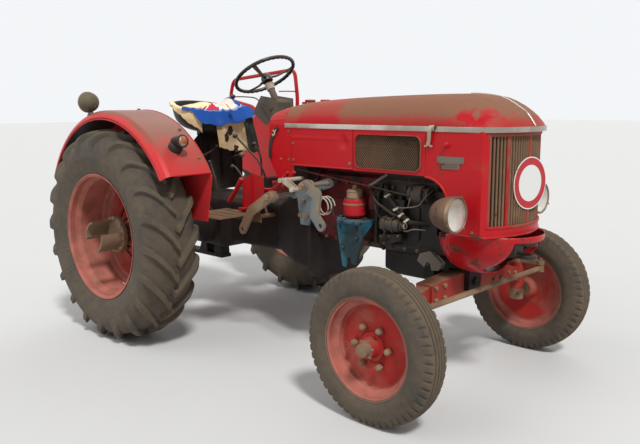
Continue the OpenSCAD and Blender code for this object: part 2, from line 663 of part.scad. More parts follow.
pan_flat = pan_foot*0.48*seat_w;
pan_low_z = seat_z - pan_depth - pan_tilt*pan_foot;
module seat_support() color(dark_iron) placed() {
    slab_y(-40, 40) polygon([[-180, 900 + seat_gap], [-60, 900 + seat_gap], [pan_x + 60, pan_low_z - 28],
        [pan_x - 60, pan_low_z - 28]]);
    slab_y(-50, 50) polygon([[pan_x - pan_flat, pan_low_z - 30], [pan_x + pan_flat, pan_low_z - 30],
        [pan_x + pan_flat, pan_low_z - seat_gap], [pan_x - pan_flat, pan_low_z + pan_tilt*pan_foot - seat_gap]]);
}

module seat_cushion() color([0.75, 0.65, 0.4]) placed()
    loft_z([for (s = [[pan_depth, pan_foot], [172, 0.6], [145, 0.8], [84, 0.86], [60, 0.8], [52, 0.6]])
        pan_loop(s, skin + seat_gap)]);

module seat_cloth() color([0.2, 0.3, 0.6]) placed()
    loft_z([for (s = [[52 - seat_gap, 0.6], [38, 0.68], [28, 0.5]]) pan_loop(s, skin + seat_gap)]);

// Fenders: a curved plate over each rear wheel with a rolled outer shoulder, and its inner wall
fender_lip_r = fender_r - 55;
function arc_points(cx, cy, r, a0, a1, n) = [for (k = [0:n]) let (a = a0 + (a1 - a0)*k/n)
    [cx + r*cos(a), cy + r*sin(a)]];

module fender_profile(t) polygon(concat([[fender_r, fender_inner_y]],
    arc_points(fender_lip_r, fender_outer_y - 55, 55, 0, 80, 6),
    arc_points(fender_lip_r, fender_outer_y - 55, 55 - t, 80, 0, 6), [[fender_r - t, fender_inner_y]]));

module fender(left) color(red) placed() mirrored(left) {
    translate([0, 0, rear_r]) mirror([0, 1, 0]) rotate([90, 0, 0]) mirror([0, 0, 1])
        rotate([0, 0, fender_a0]) rotate_extrude(angle = fender_a1 - fender_a0, $fn = 120)
            fender_profile(fender_skin);
    slab_y(-fender_inner_y - 1, -fender_inner_y + fender_skin) intersection() {
        translate([0, rear_r]) circle(fender_r - fender_skin/2, $fn = 120);
        polygon([[700, rear_r + 425], [640, 812], [300, 812], [200, 900], [-200, 900], [-360, 960],
            [-720, rear_r + 375], [-760, 1600], [760, 1600]]);
    }
}
module fender_right() fender(false);
module fender_left() fender(true);

// Small lamps on the front of the fenders
fender_lamp_a = 46;
fender_lamp_y = 790;
module fender_lamps() color(dark_iron) placed() for (left = [false, true]) mirrored(left)
    translate([0, -fender_lamp_y, rear_r]) rotate([0, 90 - fender_lamp_a, 0]) translate([0, 0, fender_r + seat_gap]) {
        cylinder(h = 30, d = 88);
        translate([0, 0, 55]) rotate([0, fender_lamp_a - 90 + 8, 0]) rod_x(-40, 50, 76);
    }

// Work lamp on the right fender's crown, facing back
work_lamp_x = -235;
work_lamp_y = 890;
module work_lamp() color([0.3, 0.29, 0.24]) placed() translate([0, -work_lamp_y, rear_r]) {
    rotate([0, asin(work_lamp_x/fender_r), 0]) translate([0, 0, fender_r + seat_gap]) {
        cylinder(h = 6, d = 50);
        cylinder(h = 60, d = 24);
    }
    translate([work_lamp_x - 45, 0, fender_r + 52]) rotate([0, 90, 0]) rotate_extrude()
        polygon([[0, 0], [60, 0], [67, 6], [67, 26], [58, 56], [36, 82], [0, 92]]);
}

// Handrail loop on the left fender
rail_tube_d = 30;
function crown_point(x, lift) = let (a = acos(x/fender_r)) [(fender_r + lift)*cos(a),
    rear_r + (fender_r + lift)*sin(a)];
module handrail() color(red) placed() {
    loop = [crown_point(-335, seat_gap), crown_point(-335, 90), [-690, 1570], [-640, 1740], [110, 1800],
        crown_point(130, 70), crown_point(130, seat_gap)];
    tube(rounded_path([for (p = loop) [p.x, fender_inner_y + 50, p.y]], 60), rail_tube_d);
}

// Footplates on both sides with a red toe board towards the gearbox
foot_z = 840;
module footplates() color(dusty_red) placed() for (left = [false, true]) mirrored(left) {
    slab_z(foot_z - 6, foot_z) translate([420, -fender_inner_y + fender_skin + seat_gap]) square([330, 330]);
    slab_y(-340, -334) polygon([[640, foot_z - 3], [748, foot_z - 3], [850, 900], [850, 1080], [760, 1100],
        [660, 1060]]);
    slab_z(foot_z - 40, foot_z - 5) translate([500, -300]) square([60, 300 - gearbox_half_w - seat_gap]);
    slab_y(-300, -294) translate([480, foot_z - 60]) square([300, 56]);
}

// Pedals on the right and the left of the gearbox
pedal_z = foot_z - 30;
module pedals() color(tan_steel) placed() {
    for (y = [-258, -190, 250]) {
        tube(rounded_path([[720, y, pedal_z], [650, y, foot_z + 140], [600, y, foot_z + 176]], 40), 18);
        translate([572, y - 28, foot_z + 166]) cube([62, 56, 10]);
    }
    translate([720, 0, pedal_z]) for (side = [-1, 1]) rod_y(side > 0 ? gearbox_half_w + seat_gap : -275,
        side > 0 ? 275 : -gearbox_half_w - seat_gap, 28);
}

module hand_levers() color(dark_iron) placed() {
    for (one = [[[620, -60, 895], [575, -110, 1175], [385, -110, 1330]], [[420, 40, 895], [380, 60, 1180],
        [300, 70, 1250]]]) {
        tube(rounded_path(one, 50), 14);
        loft_z([for (tilt = [-75:25:75]) [for (k = [0:9]) one[2] + 19*[cos(tilt)*cos(36*k + 9),
            cos(tilt)*sin(36*k + 9), sin(tilt)]]]);
        translate([one[0].x, one[0].y, 880 + seat_gap]) cylinder(h = 24, d = 36);
    }
}

// Headlamps on brackets from the radiator's sides
lamp_x = wheelbase + 230;
module headlamp(left) color(tan_steel) placed() mirrored(left) translate([lamp_x, -headlamp_y, headlamp_z]) {
    rotate([0, -90, 0]) rotate_extrude() polygon(concat([[0, -6], [headlamp_d/2 - 12, -6], [headlamp_d/2, 0],
        [headlamp_d/2, 24]], [[headlamp_d/2 - 6, 60], [headlamp_d/2 - 22, 100], [headlamp_d/2 - 48, 130],
        [headlamp_d/2 - 76, 144], [0, 148]]));
    rod([-130, 15, -15], [wheelbase + 30 - lamp_x, headlamp_y - rail_y - 5, -50], 24);
    translate([wheelbase + 30 - lamp_x, headlamp_y - rail_y - 5, rail_z1 + seat_gap - headlamp_z])
        cylinder(h = headlamp_z - 38 - rail_z1, d = 34);
}
module headlamp_right() headlamp(false);
module headlamp_left() headlamp(true);

// Front axle: a box beam on the pivot with a sloping arm to each kingpin tube
kingpin_y = front_track/2 - kingpin_offset;
tube_low = 410;
tube_high = tube_low + kingpin_tube_h;
module front_axle() color(red) placed() difference() {
    union() {
        slab_x(beam_x0, beam_x1) polygon([[-360, beam_z - beam_h/2 + 8], [-120, beam_z - beam_h/2],
            [120, beam_z - beam_h/2], [360, beam_z - beam_h/2 + 8], [360, beam_z + beam_h/2 - 18],
            [120, beam_z + beam_h/2], [-120, beam_z + beam_h/2], [-360, beam_z + beam_h/2 - 18]]);
        for (side = [-1, 1]) {
            slab_x(wheelbase - 36, wheelbase + 36) polygon([[side*350, beam_z - 45], [side*kingpin_y, 455],
                [side*kingpin_y, 540], [side*350, beam_z + 38]]);
            translate([wheelbase, side*kingpin_y, tube_low]) cylinder(h = kingpin_tube_h, d = kingpin_tube_d);
        }
    }
    for (side = [-1, 1]) translate([wheelbase, side*kingpin_y, tube_low - 1])
        cylinder(h = kingpin_tube_h + 2, d = kingpin_d + 2*run_gap);
    translate([0, 0, pivot_z]) rod_x(beam_x0 - 1, beam_x1 + 1, pivot_d + 2*run_gap);
}

// Knuckle: kingpin with the steering arm on top and the wheel spindle at its foot
arm_z0 = tube_high + seat_gap;
arm_t = 24;
hub_y = front_track/2;
ball_d = 22;
module knuckle(left) color(tan_steel) placed() mirrored(left) {
    translate([wheelbase, -kingpin_y, 0]) {
        translate([0, 0, 350]) cylinder(h = arm_z0 + arm_t - 350, d = kingpin_d);
        slab_z(345, tube_low - seat_gap) circle(d = kingpin_tube_d);
        difference() {
            slab_z(arm_z0, arm_z0 + arm_t) union() {
                circle(d = 64);
                translate([0, -20]) square([steering_arm, 40]);
                translate([steering_arm, 0]) circle(d = 48);
            }
            translate([steering_arm, 0, arm_z0 - 1]) cylinder(h = arm_t + 2, d = ball_d + 2*run_gap);
        }
    }
    translate([wheelbase, 0, front_r]) rod_y(-hub_y - 25, -kingpin_y, spindle_d);
}
module knuckle_right() knuckle(false);
module knuckle_left() knuckle(true);

// Tie rod between the steering arms
rod_z = arm_z0 - seat_gap - 22;
module tie_rod() color(tan_steel) placed() {
    for (side = [-1, 1]) translate([wheelbase + steering_arm, side*kingpin_y, 0]) {
        translate([0, 0, rod_z - 20]) cylinder(h = arm_z0 + arm_t + 12 - rod_z + 20, d = ball_d);
        slab_z(rod_z - 20, rod_z + 20) circle(d = 44);
    }
    translate([wheelbase + steering_arm, 0, rod_z]) rod_y(-kingpin_y, kingpin_y, tie_rod_d);
}

// Front tyre: ribbed tread with notched shoulders; the profile runs from bead to bead
module front_tyre(left) color(rubber_grey) placed() mirrored(left) translate([wheelbase, -hub_y, front_r])
    turned_y() polygon([[front_rim_d/2 - 12, -front_tyre_w/2 + 27], [front_rim_d/2 + 6, -front_tyre_w/2 + 15],
        [front_r - 85, -front_tyre_w/2], [front_r - 60, -front_tyre_w/2 + 2], [front_r - 22, -front_tyre_w/2 + 14],
        [front_r - 9, -front_tyre_w/2 + 26], [front_r, -26], [front_r, -18],
        [front_r - groove_depth, -15], [front_r - groove_depth, -9], [front_r, -6], [front_r, 6],
        [front_r - groove_depth, 9], [front_r - groove_depth, 15], [front_r, 18], [front_r, 26],
        [front_r - 9, front_tyre_w/2 - 26], [front_r - 22, front_tyre_w/2 - 14],
        [front_r - 60, front_tyre_w/2 - 2], [front_r - 85, front_tyre_w/2],
        [front_rim_d/2 + 6, front_tyre_w/2 - 15], [front_rim_d/2 - 12, front_tyre_w/2 - 27]]);
module front_tyre_right() front_tyre(false);
module front_tyre_left() front_tyre(true);

// Front rim: flanged well, a disc set back from the outer face and the hub on the spindle
front_bead_w = front_tyre_w/2 - 27;
rim_t = 5;
module front_rim(left) color(red) placed() mirrored(left) translate([wheelbase, -hub_y, front_r]) difference() {
    union() {
        turned_y() polygon([[front_rim_d/2, -front_bead_w - 12], [front_rim_d/2 - 12 - seat_gap, -front_bead_w - 4],
            [front_rim_d/2 - 12 - seat_gap, -front_bead_w + 25], [front_rim_d/2 - 40, -18],
            [front_rim_d/2 - 40, 18], [front_rim_d/2 - 12 - seat_gap, front_bead_w - 25],
            [front_rim_d/2 - 12 - seat_gap, front_bead_w + 4], [front_rim_d/2, front_bead_w + 12],
            [front_rim_d/2 - rim_t, front_bead_w + 12], [front_rim_d/2 - 12 - rim_t, front_bead_w + 4],
            [front_rim_d/2 - 12 - rim_t, front_bead_w - 24], [front_rim_d/2 - 40 - rim_t, 16],
            [front_rim_d/2 - 40 - rim_t, -16], [front_rim_d/2 - 12 - rim_t, -front_bead_w + 24],
            [front_rim_d/2 - 12 - rim_t, -front_bead_w - 4], [front_rim_d/2 - rim_t, -front_bead_w - 12]]);
        turned_y() polygon([[front_rim_d/2 - 43, 12], [front_rim_d/2 - 43, 18], [190, 18], [130, 6], [0, 6],
            [0, -2], [130, -2], [190, 10], [front_rim_d/2 - 55, 12]]);
        turned_y() polygon([[0, 60], [48, 60], [60, 40], [70, 10], [70, -12], [52, -14], [48, -58], [36, -66],
            [33, -92], [0, -96]]);
        for (k = [0:front_nuts - 1]) rotate([0, 360*k/front_nuts, 0]) translate([front_nut_circle/2, 0, 0])
            rod_y(-24, 0, 26);
    }
    rod_y(-26, 61, spindle_d + 2*run_gap);
}
module front_rim_right() front_rim(false);
module front_rim_left() front_rim(true);

// Rear tyre: casing with swept lugs from the middle of the tread to over the shoulder
casing_r = rear_r - lug_height;
lug_table = [
    // distance from the tread's middle as a share of the half width, top radius under the lug tips, root radius
    // under the tips, share of the sweep
    [-0.03, 0, 60, 0],
    [0.3, 1, 62, 0.36],
    [0.62, 8, 72, 0.7],
    [0.86, 30, 100, 0.92],
    [1.0, 66, 140, 1.0]];

function lug_station(s, half_w) = let (y = s[0]*half_w, top = rear_r - s[1], root = rear_r - s[2],
    a = -lug_sweep*s[3], top_a = lug_width/2/rear_r*57.3, root_a = (lug_width/2 + 9)/rear_r*57.3)
    [for (p = [[root, a - root_a], [top, a - top_a], [top, a + top_a], [root, a + root_a]])
        [p[0]*sin(p[1]), y, p[0]*cos(p[1])]];

module lug() {
    rings = [for (s = lug_table) lug_station(s, rear_tyre_w/2)];
    last = len(rings) - 1;
    sides = [for (i = [0:last - 1]) for (k = [0:3]) let (m = (k + 1)%4)
        [i*4 + k, (i + 1)*4 + k, (i + 1)*4 + m, i*4 + m]];
    polyhedron([for (one = rings) each one], concat(sides, [[0, 1, 2, 3]], [[last*4 + 3, last*4 + 2,
        last*4 + 1, last*4]]));
}

module casing() {
    w = rear_tyre_w/2;
    bead = rear_rim_d/2 - 14;
    turned_y() polygon([[bead, -w + 42], [rear_rim_d/2 + 8, -w + 28], [rear_r - 190, -w + 2],
        [rear_r - 150, -w], [rear_r - 110, -w + 5], [rear_r - 66, -w + 34], [casing_r - 4, -w + 86],
        [casing_r, 0], [casing_r - 4, w - 86], [rear_r - 66, w - 34], [rear_r - 110, w - 5],
        [rear_r - 150, w], [rear_r - 190, w - 2], [rear_rim_d/2 + 8, w - 28], [bead, w - 42]]);
}

module rear_tyre(left) color(rubber_grey) placed() mirrored(left) translate([0, -rear_track/2, rear_r]) {
    casing();
    for (k = [0:lug_count - 1]) rotate([0, 360*k/lug_count, 0]) {
        lug();
        rotate([0, 180/lug_count, 0]) mirror([0, 1, 0]) lug();
    }
}
module rear_tyre_right() rear_tyre(false);
module rear_tyre_left() rear_tyre(true);

// Rear rim: flanged well, a disc deep inside, the hub and its coupling flange with two curved jaws
rear_bead_w = rear_tyre_w/2 - 42;
module rear_rim(left) color(red) placed() mirrored(left) translate([0, -rear_track/2, rear_r]) {
    seat_r = rear_rim_d/2 - 14 - seat_gap;
    turned_y() polygon([[rear_rim_d/2, -rear_bead_w - 14], [seat_r, -rear_bead_w - 4],
        [seat_r, -rear_bead_w + 30], [seat_r - 22, -rear_bead_w + 60], [seat_r - 22, rear_bead_w - 60],
        [seat_r, rear_bead_w - 30], [seat_r, rear_bead_w + 4], [rear_rim_d/2, rear_bead_w + 14],
        [rear_rim_d/2 - 6, rear_bead_w + 14], [seat_r - 6, rear_bead_w + 4], [seat_r - 6, rear_bead_w - 32],
        [seat_r - 28, rear_bead_w - 62], [seat_r - 28, -rear_bead_w + 62], [seat_r - 6, -rear_bead_w + 32],
        [seat_r - 6, -rear_bead_w - 4], [rear_rim_d/2 - 6, -rear_bead_w - 14]]);
    // Disc and hub
    turned_y() polygon([[seat_r - 24, rear_bead_w - 66], [seat_r - 34, rear_disc_inset - 6],
        [260, rear_disc_inset + 30], [150, rear_disc_inset + 20], [100, rear_disc_inset + 24],
        [100, rear_disc_inset + 40], [0, rear_disc_inset + 40], [0, rear_disc_inset - 50],
        [60, rear_disc_inset - 50], [75, rear_disc_inset - 5], [100, rear_disc_inset + 8], [150, rear_disc_inset + 8],
        [262, rear_disc_inset + 20], [seat_r - 50, rear_disc_inset - 14], [seat_r - 40, rear_bead_w - 66]]);
    // Coupling
    rod_y(rear_disc_inset - 140, rear_disc_inset - 45, 130);
    rod_y(rear_disc_inset - 160, rear_disc_inset - 135, coupling_d);
    difference() {
        rod_y(rear_disc_inset - 160 - jaw_length, rear_disc_inset - 150, coupling_d - 40);
        rod_y(rear_disc_inset - 170 - jaw_length, rear_disc_inset - 150, coupling_d - 64);
        for (a = [-1, 1]) rotate([0, 35, 0]) translate([0, rear_disc_inset - 150 - jaw_length - 16, a*110])
            cube([130, 2*jaw_length + 30, 130], center = true);
    }
    // Shaft in the axle housing
    rod_y(rear_disc_inset + 30, rear_track/2 - axle_end_y + 60, shaft_d);
}
module rear_rim_right() rear_rim(false);
module rear_rim_left() rear_rim(true);

// Mower lift on the right: a bracket on the gearbox with two cranks on cross pins
pin_d = 28;
crank_rear = [1030, 984];
crank_front = [1331, 1073];
module lift_bracket() color(tan_steel) placed() {
    for (c = [crank_rear, crank_front]) {
        translate([c.x, 0, c.y]) rod_y(-lift_y - lift_bar_t - 14, -bell_half_w - seat_gap - 5, pin_d);
        translate([c.x, 0, c.y]) rod_y(-lift_y + lift_bar_t/2 + 1.5, -lift_y + lift_bar_t/2 + 40, 60);
    }
    slab_y(-bell_half_w - seat_gap - 18, -bell_half_w - seat_gap) union() {
        flat_bar(crank_rear, crank_front, 58);
        polygon([[1090, 800], [1155, 800], [1240, 1040], [1060, 980]]);
    }
}

module crank(points) difference() {
    union() {
        for (i = [0:len(points) - 2]) slab_y(-lift_y - lift_bar_t/2, -lift_y + lift_bar_t/2)
            flat_bar(points[i], points[i + 1], lift_bar_w);
        translate([points[0].x, 0, points[0].y]) rod_y(-lift_y - lift_bar_t/2 - 8, -lift_y + lift_bar_t/2, 58);
    }
    translate([points[0].x, 0, points[0].y]) rod_y(-lift_y - 60, -lift_y + 60, pin_d + 2*run_gap);
    last = points[len(points) - 1];
    translate([last.x, 0, last.y]) rod_y(-lift_y - 60, -lift_y + 60, 26);
}
module lift_crank_rear() color(tan_steel) placed() crank([crank_rear, [859, 881], [778, 759]]);
module lift_crank_front() color(tan_steel) placed()
    crank([crank_front, [1425, 1029], [1408, 908], [1455, 856]]);

// Hanger bracket of the mower, bolted under the engine's side
module hanger_bracket() color([0.1, 0.35, 0.42]) placed() {
    // Forked plate under a shelf whose rear corner is cut off
    slab_y(-318, -306) polygon([[1452, 880], [1641, 880], [1641, 768], [1612, 690], [1599, 629], [1566, 636],
        [1558, 672], [1532, 664], [1520, 606], [1500, 612], [1492, 645], [1466, 780]]);
    seat_y = -engine_half_w - seam_out - seat_gap;
    slab_z(868, 880) polygon([[1395, seat_y], [1641, seat_y], [1641, -345], [1480, -345], [1395, -250]]);
    slab_x(1629, 1641) polygon([[-306, 868], [-306, 790], [seat_y - 32, 868]]);
}

// Rear drawbar and power take-off shaft
pto_z = 640;
module drawbar() color(dark_red) placed() {
    difference() {
        union() {
            slab_z(400, 425) translate([-600, -45]) square([640, 90]);
            slab_z(400, 425) translate([-600, 0]) circle(d = 90);
            slab_y(-40, 40) polygon([[-60, 424], [30, 424], [20, 519.7], [-50, 519.7]]);
            slab_y(-40, 40) polygon([[-240, 424], [-140, 424], [-150, 519.7], [-200, 519.7]]);
        }
        translate([-600, 0, 399]) cylinder(h = 27, d = 32);
    }
    translate([0, 0, pto_z]) {
        rod_x(-350, -261, 35);
        rod_x(-272, -260 - seat_gap, 100);
    }
}

// Towing jaw in the chin's notch
jaw_z0 = 750;
module tow_jaw() color(dark_iron) placed() difference() {
    union() {
        slab_z(jaw_z0 + 8, 832) translate([wheelbase + 225 + seat_gap, -45]) square([110, 90]);
        for (z = [[jaw_z0, jaw_z0 + 16], [818, 834]]) slab_z(z[0], z[1]) union() {
            translate([wheelbase + 260, -45]) square([125, 90]);
            translate([wheelbase + 385, 0]) circle(d = 90);
        }
    }
    translate([wheelbase + 385, 0, jaw_z0 - 1]) cylinder(h = 90, d = 27);
}

engine();
gearbox();
rear_axle_housing();
front_frame();
radiator();
bonnet_lid();
side_strip();
side_panel_right();
side_panel_left();
nose_shell();
grille();
chin_apron();
round_sign();
cowl();
steering_column();
steering_wheel();
seat_pan();
seat_support();
seat_cushion();
seat_cloth();
fender_right();
fender_left();
fender_lamps();
work_lamp();
handrail();
footplates();
pedals();
hand_levers();
headlamp_right();
headlamp_left();
front_axle();
knuckle_right();
knuckle_left();
tie_rod();
front_tyre_right();
front_tyre_left();
front_rim_right();
front_rim_left();
rear_tyre_right();
rear_tyre_left();
rear_rim_right();
rear_rim_left();
lift_bracket();
lift_crank_rear();
lift_crank_front();
hanger_bracket();
drawbar();
tow_jaw();
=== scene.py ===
"""The looks of an old red farm tractor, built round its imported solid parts.

Lengths are metres. Shapes are worked out with X forward from the rear axle, Y to the driver's left and
Z up from the ground, and make() moves them to the frame's origin.
"""

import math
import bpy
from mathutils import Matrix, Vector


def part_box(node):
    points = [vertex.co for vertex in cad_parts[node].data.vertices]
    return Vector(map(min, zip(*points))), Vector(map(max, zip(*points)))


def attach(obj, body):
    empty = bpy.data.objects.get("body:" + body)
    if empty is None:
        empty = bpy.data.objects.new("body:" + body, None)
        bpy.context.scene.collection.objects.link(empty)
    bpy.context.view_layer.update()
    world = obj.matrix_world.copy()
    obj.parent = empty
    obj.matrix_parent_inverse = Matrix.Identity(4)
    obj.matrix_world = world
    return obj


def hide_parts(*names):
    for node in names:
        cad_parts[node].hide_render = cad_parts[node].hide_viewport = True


bl_info = {
    "name": "Vintage tractor looks",
    "version": (1, 0, 0),
    "blender": (4, 5, 0),
    "location": "3D View > Sidebar > Tractor",
    "description": "Dresses the solid parts of a vintage farm tractor with surfaces and worn finishes",
    "category": "Object",
}

import bpy
import numpy as np
from mathutils import Matrix, Vector

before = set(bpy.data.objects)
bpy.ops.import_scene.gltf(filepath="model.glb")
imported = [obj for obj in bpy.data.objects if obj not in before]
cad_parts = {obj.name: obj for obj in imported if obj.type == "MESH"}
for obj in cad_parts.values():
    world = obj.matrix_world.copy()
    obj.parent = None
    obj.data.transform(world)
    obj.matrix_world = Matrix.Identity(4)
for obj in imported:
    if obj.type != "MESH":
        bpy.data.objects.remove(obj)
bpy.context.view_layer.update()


def middle(node):
    """The middle of a CAD node's box."""
    low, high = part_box(node)
    return (low + high) / 2


AXLE_X = middle("rear_tyre_right").x
WHEELBASE = middle("front_tyre_right").x - AXLE_X
REAR_Y = middle("rear_tyre_left").y
FRONT_Y = middle("front_tyre_left").y
REAR_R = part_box("rear_tyre_left")[1].z / 2
FRONT_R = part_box("front_tyre_left")[1].z / 2
REAR_HUB = (AXLE_X, 0, REAR_R)
FRONT_HUB = (AXLE_X + WHEELBASE, 0, FRONT_R)
PHOTO_WIDTH = 640
FENDER_R = 0.81


# ---- Shapes: each function gives (points, [face tables]) ----


def surface(points, wrap_u=False, wrap_v=False):
    """A grid points[i, j] joined by four-cornered faces, and closed round either way where wrapped."""
    ids = np.arange(points.shape[0] * points.shape[1]).reshape(points.shape[:2])
    ids = np.vstack([ids, ids[:1]]) if wrap_u else ids
    ids = np.hstack([ids, ids[:, :1]]) if wrap_v else ids
    corners = ids[:-1, :-1], ids[1:, :-1], ids[1:, 1:], ids[:-1, 1:]
    return points.reshape(-1, 3), [np.stack(corners, -1).reshape(-1, 4)]


def capped(rings):
    """Rings points[i, j] joined round j, with a flat face over the first and the last ring."""
    points, faces = surface(rings, wrap_v=True)
    n = rings.shape[1]
    last = (rings.shape[0] - 1) * n
    return points, [*faces, np.arange(n)[None, ::-1], last + np.arange(n)[None]]


def merged(*shapes):
    """Several shapes as one: their points one after another, with the face numbers moved on."""
    points, faces, start = [], [], 0
    for part_points, part_faces in shapes:
        points.append(part_points)
        faces += [table + start for table in part_faces]
        start += len(part_points)
    return np.concatenate(points), faces


def moved(shape, by):
    """A shape moved by a vector."""
    return shape[0] + np.array(by, float), shape[1]


def mirrored(shape):
    """A shape on the tractor's other side: Y changes sign."""
    return shape[0] * (1, -1, 1), [table[:, ::-1] for table in shape[1]]


def both(*shapes):
    """Shapes and their mirror images."""
    return [*shapes, *map(mirrored, shapes)]


def curve(points, steps=8):
    """A Catmull-Rom curve through the points: the usual cubic between each pair, from their neighbours."""
    p = np.array(points, float)
    p = np.vstack([2 * p[0] - p[1], p, 2 * p[-1] - p[-2]])
    t = np.arange(steps)[None, :, None] / steps
    a, b, c, d = (p[k : len(p) - 3 + k][:, None] for k in range(4))
    run = 0.5 * (2 * b + (c - a) * t + (2 * a - 5 * b + 4 * c - d) * t**2 + (3 * b - a - 3 * c + d) * t**3)
    return np.vstack([run.reshape(-1, p.shape[1]), p[-2]])


def along(path, section, side=(0, 1, 0)):
    """A section of (across, up) points carried along a path, square to it: across is side x tangent."""
    path = np.array(path, float)
    tangent = np.gradient(path, axis=0)
    across = np.cross(np.array(side, float), tangent)
    across /= np.linalg.norm(across, axis=1)[:, None]
    up = np.cross(tangent, across)
    up /= np.linalg.norm(up, axis=1)[:, None]
    section = np.array(section, float)
    if section.ndim == 2:
        section = np.repeat(section[None], len(path), 0)
    return path[:, None] + section[..., :1] * across[:, None] + section[..., 1:] * up[:, None]


def circle(radius, n=12):
    """n points on a circle."""
    a = np.arange(n) * 2 * math.pi / n
    return radius * np.stack([np.cos(a), np.sin(a)], -1)


def tube(points, d, side=(0, 1, 0), steps=8, n=12):
    """A round bar of diameter d on a smooth curve through the points."""
    path = curve(points, steps) if steps > 1 else np.array(points, float)
    return capped(along(path, circle(d / 2, n), side))


def turned(profile, centre=(0, 0, 0), axis="y", n=64, closed=False, smooth=1):
    """A profile of (radius, distance) turned about an axis through centre: r cos a and r sin a across it."""
    if smooth > 1:
        profile = curve(profile, smooth)
    r, d = np.array(profile, float).T[:, :, None]
    a = 2 * math.pi * np.arange(n)[None] / n
    c, s, d = r * np.cos(a), r * np.sin(a), d + 0 * a
    rings = np.stack({"x": (d, c, s), "y": (s, d, c), "z": (c, s, d)}[axis], -1) + np.array(centre, float)
    return surface(rings, True, True) if closed else capped(rings)


def plate(outline, low, high, plane="xz"):
    """A flat outline made solid between two distances from its plane."""
    u, v = np.array(outline, float).T
    rings = []
    for level in (low, high):
        w = np.full_like(u, level)
        rings.append(np.stack({"xz": (u, w, v), "xy": (u, v, w), "yz": (w, u, v)}[plane], -1))
    return capped(np.stack(rings))


def block(low, high):
    """A box between two corners."""
    (x0, y0, z0), (x1, y1, z1) = low, high
    return plate([(x0, z0), (x1, z0), (x1, z1), (x0, z1)], y0, y1)


def rounded(x0, z0, x1, z1, r, n=6):
    """The outline of a rectangle with rounded corners, n points to a corner."""
    quarter = np.linspace(0, math.pi / 2, n)[None]
    a = quarter + np.arange(4)[:, None] * math.pi / 2
    x, z = np.array([x1 - r, x0 + r, x0 + r, x1 - r]), np.array([z1 - r, z1 - r, z0 + r, z0 + r])
    return np.stack([x[:, None] + r * np.cos(a), z[:, None] + r * np.sin(a)], -1).reshape(-1, 2)


def strap(points, width, height, side=(0, 1, 0)):
    """A flat bar on a smooth curve: width lies along side, height across it."""
    w, h = width / 2, height / 2
    return capped(along(curve(points, 6), [(-h, -w), (h, -w), (h, w), (-h, w)], side))


def heads(places, axis, across=0.019, height=0.009, sides=6):
    """Bolt heads: one chamfered six-sided prism at each place, standing along an axis given as a vector."""
    axis = np.array(axis, float) / np.linalg.norm(axis)
    u = np.cross(axis, (0.3, 0.9, 0.31))
    u /= np.linalg.norm(u)
    v = np.cross(axis, u)
    r = across / math.sqrt(3)
    flat = circle(1.0, sides)
    levels = np.array([(r, -0.002), (r, 0.8 * height), (0.82 * r, height)])
    one = levels[:, None, :1] * (flat[None, :, :1] * u + flat[None, :, 1:] * v) + levels[:, None, 1:] * axis
    return merged(*[capped(one + np.array(p, float)) for p in places])


def ring_of(centre, radius, count, start=0.0):
    """Points spaced evenly on an upright circle about an axis across the tractor."""
    a = math.radians(start) + np.arange(count) * 2 * math.pi / count
    return np.stack([radius * np.sin(a), 0 * a, radius * np.cos(a)], -1) + np.array(centre, float)


def on_fender(angle, y, up=0.0003):
    """A place over the fender's curve: at its radius and a little more, at an angle about the axle."""
    r = FENDER_R + up
    return np.stack([r * np.cos(angle), y + 0 * angle, REAR_R + r * np.sin(angle)], -1)


def leaned(shape, degrees, centre):
    """A shape turned about the Y axis, so that its Z leans
    towards X by the angle, and then moved to a place."""
    t = math.radians(degrees)
    x, y, z = shape[0].T
    points = np.stack([x * math.cos(t) + z * math.sin(t), y, z * math.cos(t) - x * math.sin(t)], -1)
    return points + np.array(centre, float), shape[1]


def ball(centre, radius):
    """A sphere, slightly flattened, as a half circle turned about an upright axis."""
    t = np.linspace(-math.pi / 2, math.pi / 2, 15)
    return turned(np.stack([np.maximum(radius * np.cos(t), 0.0004), 0.95 * radius * np.sin(t)], -1),
        centre, "z", 24)


def outwards(shape):
    """A closed shape with its faces turned outwards, told by the sign of its volume."""
    points, faces = shape
    volume = 0.0
    for table in faces:
        a = points[table[:, 0]]
        for k in range(1, table.shape[1] - 1):
            volume += np.einsum("ij,ij->", a, np.cross(points[table[:, k]], points[table[:, k + 1]]))
    return shape if volume > 0 else (points, [table[:, ::-1] for table in faces])


def solid(*shapes):
    """Closed shapes as one, each with its faces outwards."""
    return merged(*map(outwards, shapes))


# ---- Pieces ----

FINISH = {}


def make(name, finish, *shapes, body="root", replaces="", slot=None, closed=True, sharp=38, bevel=0.0):
    """Makes one piece of its shapes, in a finish and on a body, and moves it to the frame's origin.

    replaces holds the CAD nodes that it stands for. Edges bent by more than the angle sharp stay sharp."""
    points, faces = solid(*shapes) if closed else merged(*shapes)
    mesh = bpy.data.meshes.new(name)
    corners = [row for table in faces for row in table.tolist()]
    mesh.from_pydata((points + (AXLE_X, 0, 0)).tolist(), [], corners)
    mesh.validate()
    piece = bpy.data.objects.new(name, mesh)
    bpy.context.scene.collection.objects.link(piece)
    mesh.materials.append(FINISH[finish])
    mesh.shade_smooth()
    mesh.set_sharp_from_angle(angle=math.radians(sharp))
    if bevel:
        edge = piece.modifiers.new("Edges", "BEVEL")
        edge.width, edge.segments, edge.limit_method = bevel, 2, "ANGLE"
        edge.angle_limit = math.radians(sharp)
        edge.harden_normals = False
    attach(piece, body)
    if replaces:
        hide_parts(*replaces.split())
    return piece


def pair(name, finish, *shapes, body="", replaces="", **more):
    """Makes a piece on the right and its mirror image on the left; the side's word ends each name."""
    for word, side in (("right", shapes), ("left", map(mirrored, shapes))):
        on, node = (f"{stem}_{word}" if stem else "" for stem in (body, replaces))
        make(f"{name}_{word}", finish, *side, body=on or "root", replaces=node, **more)


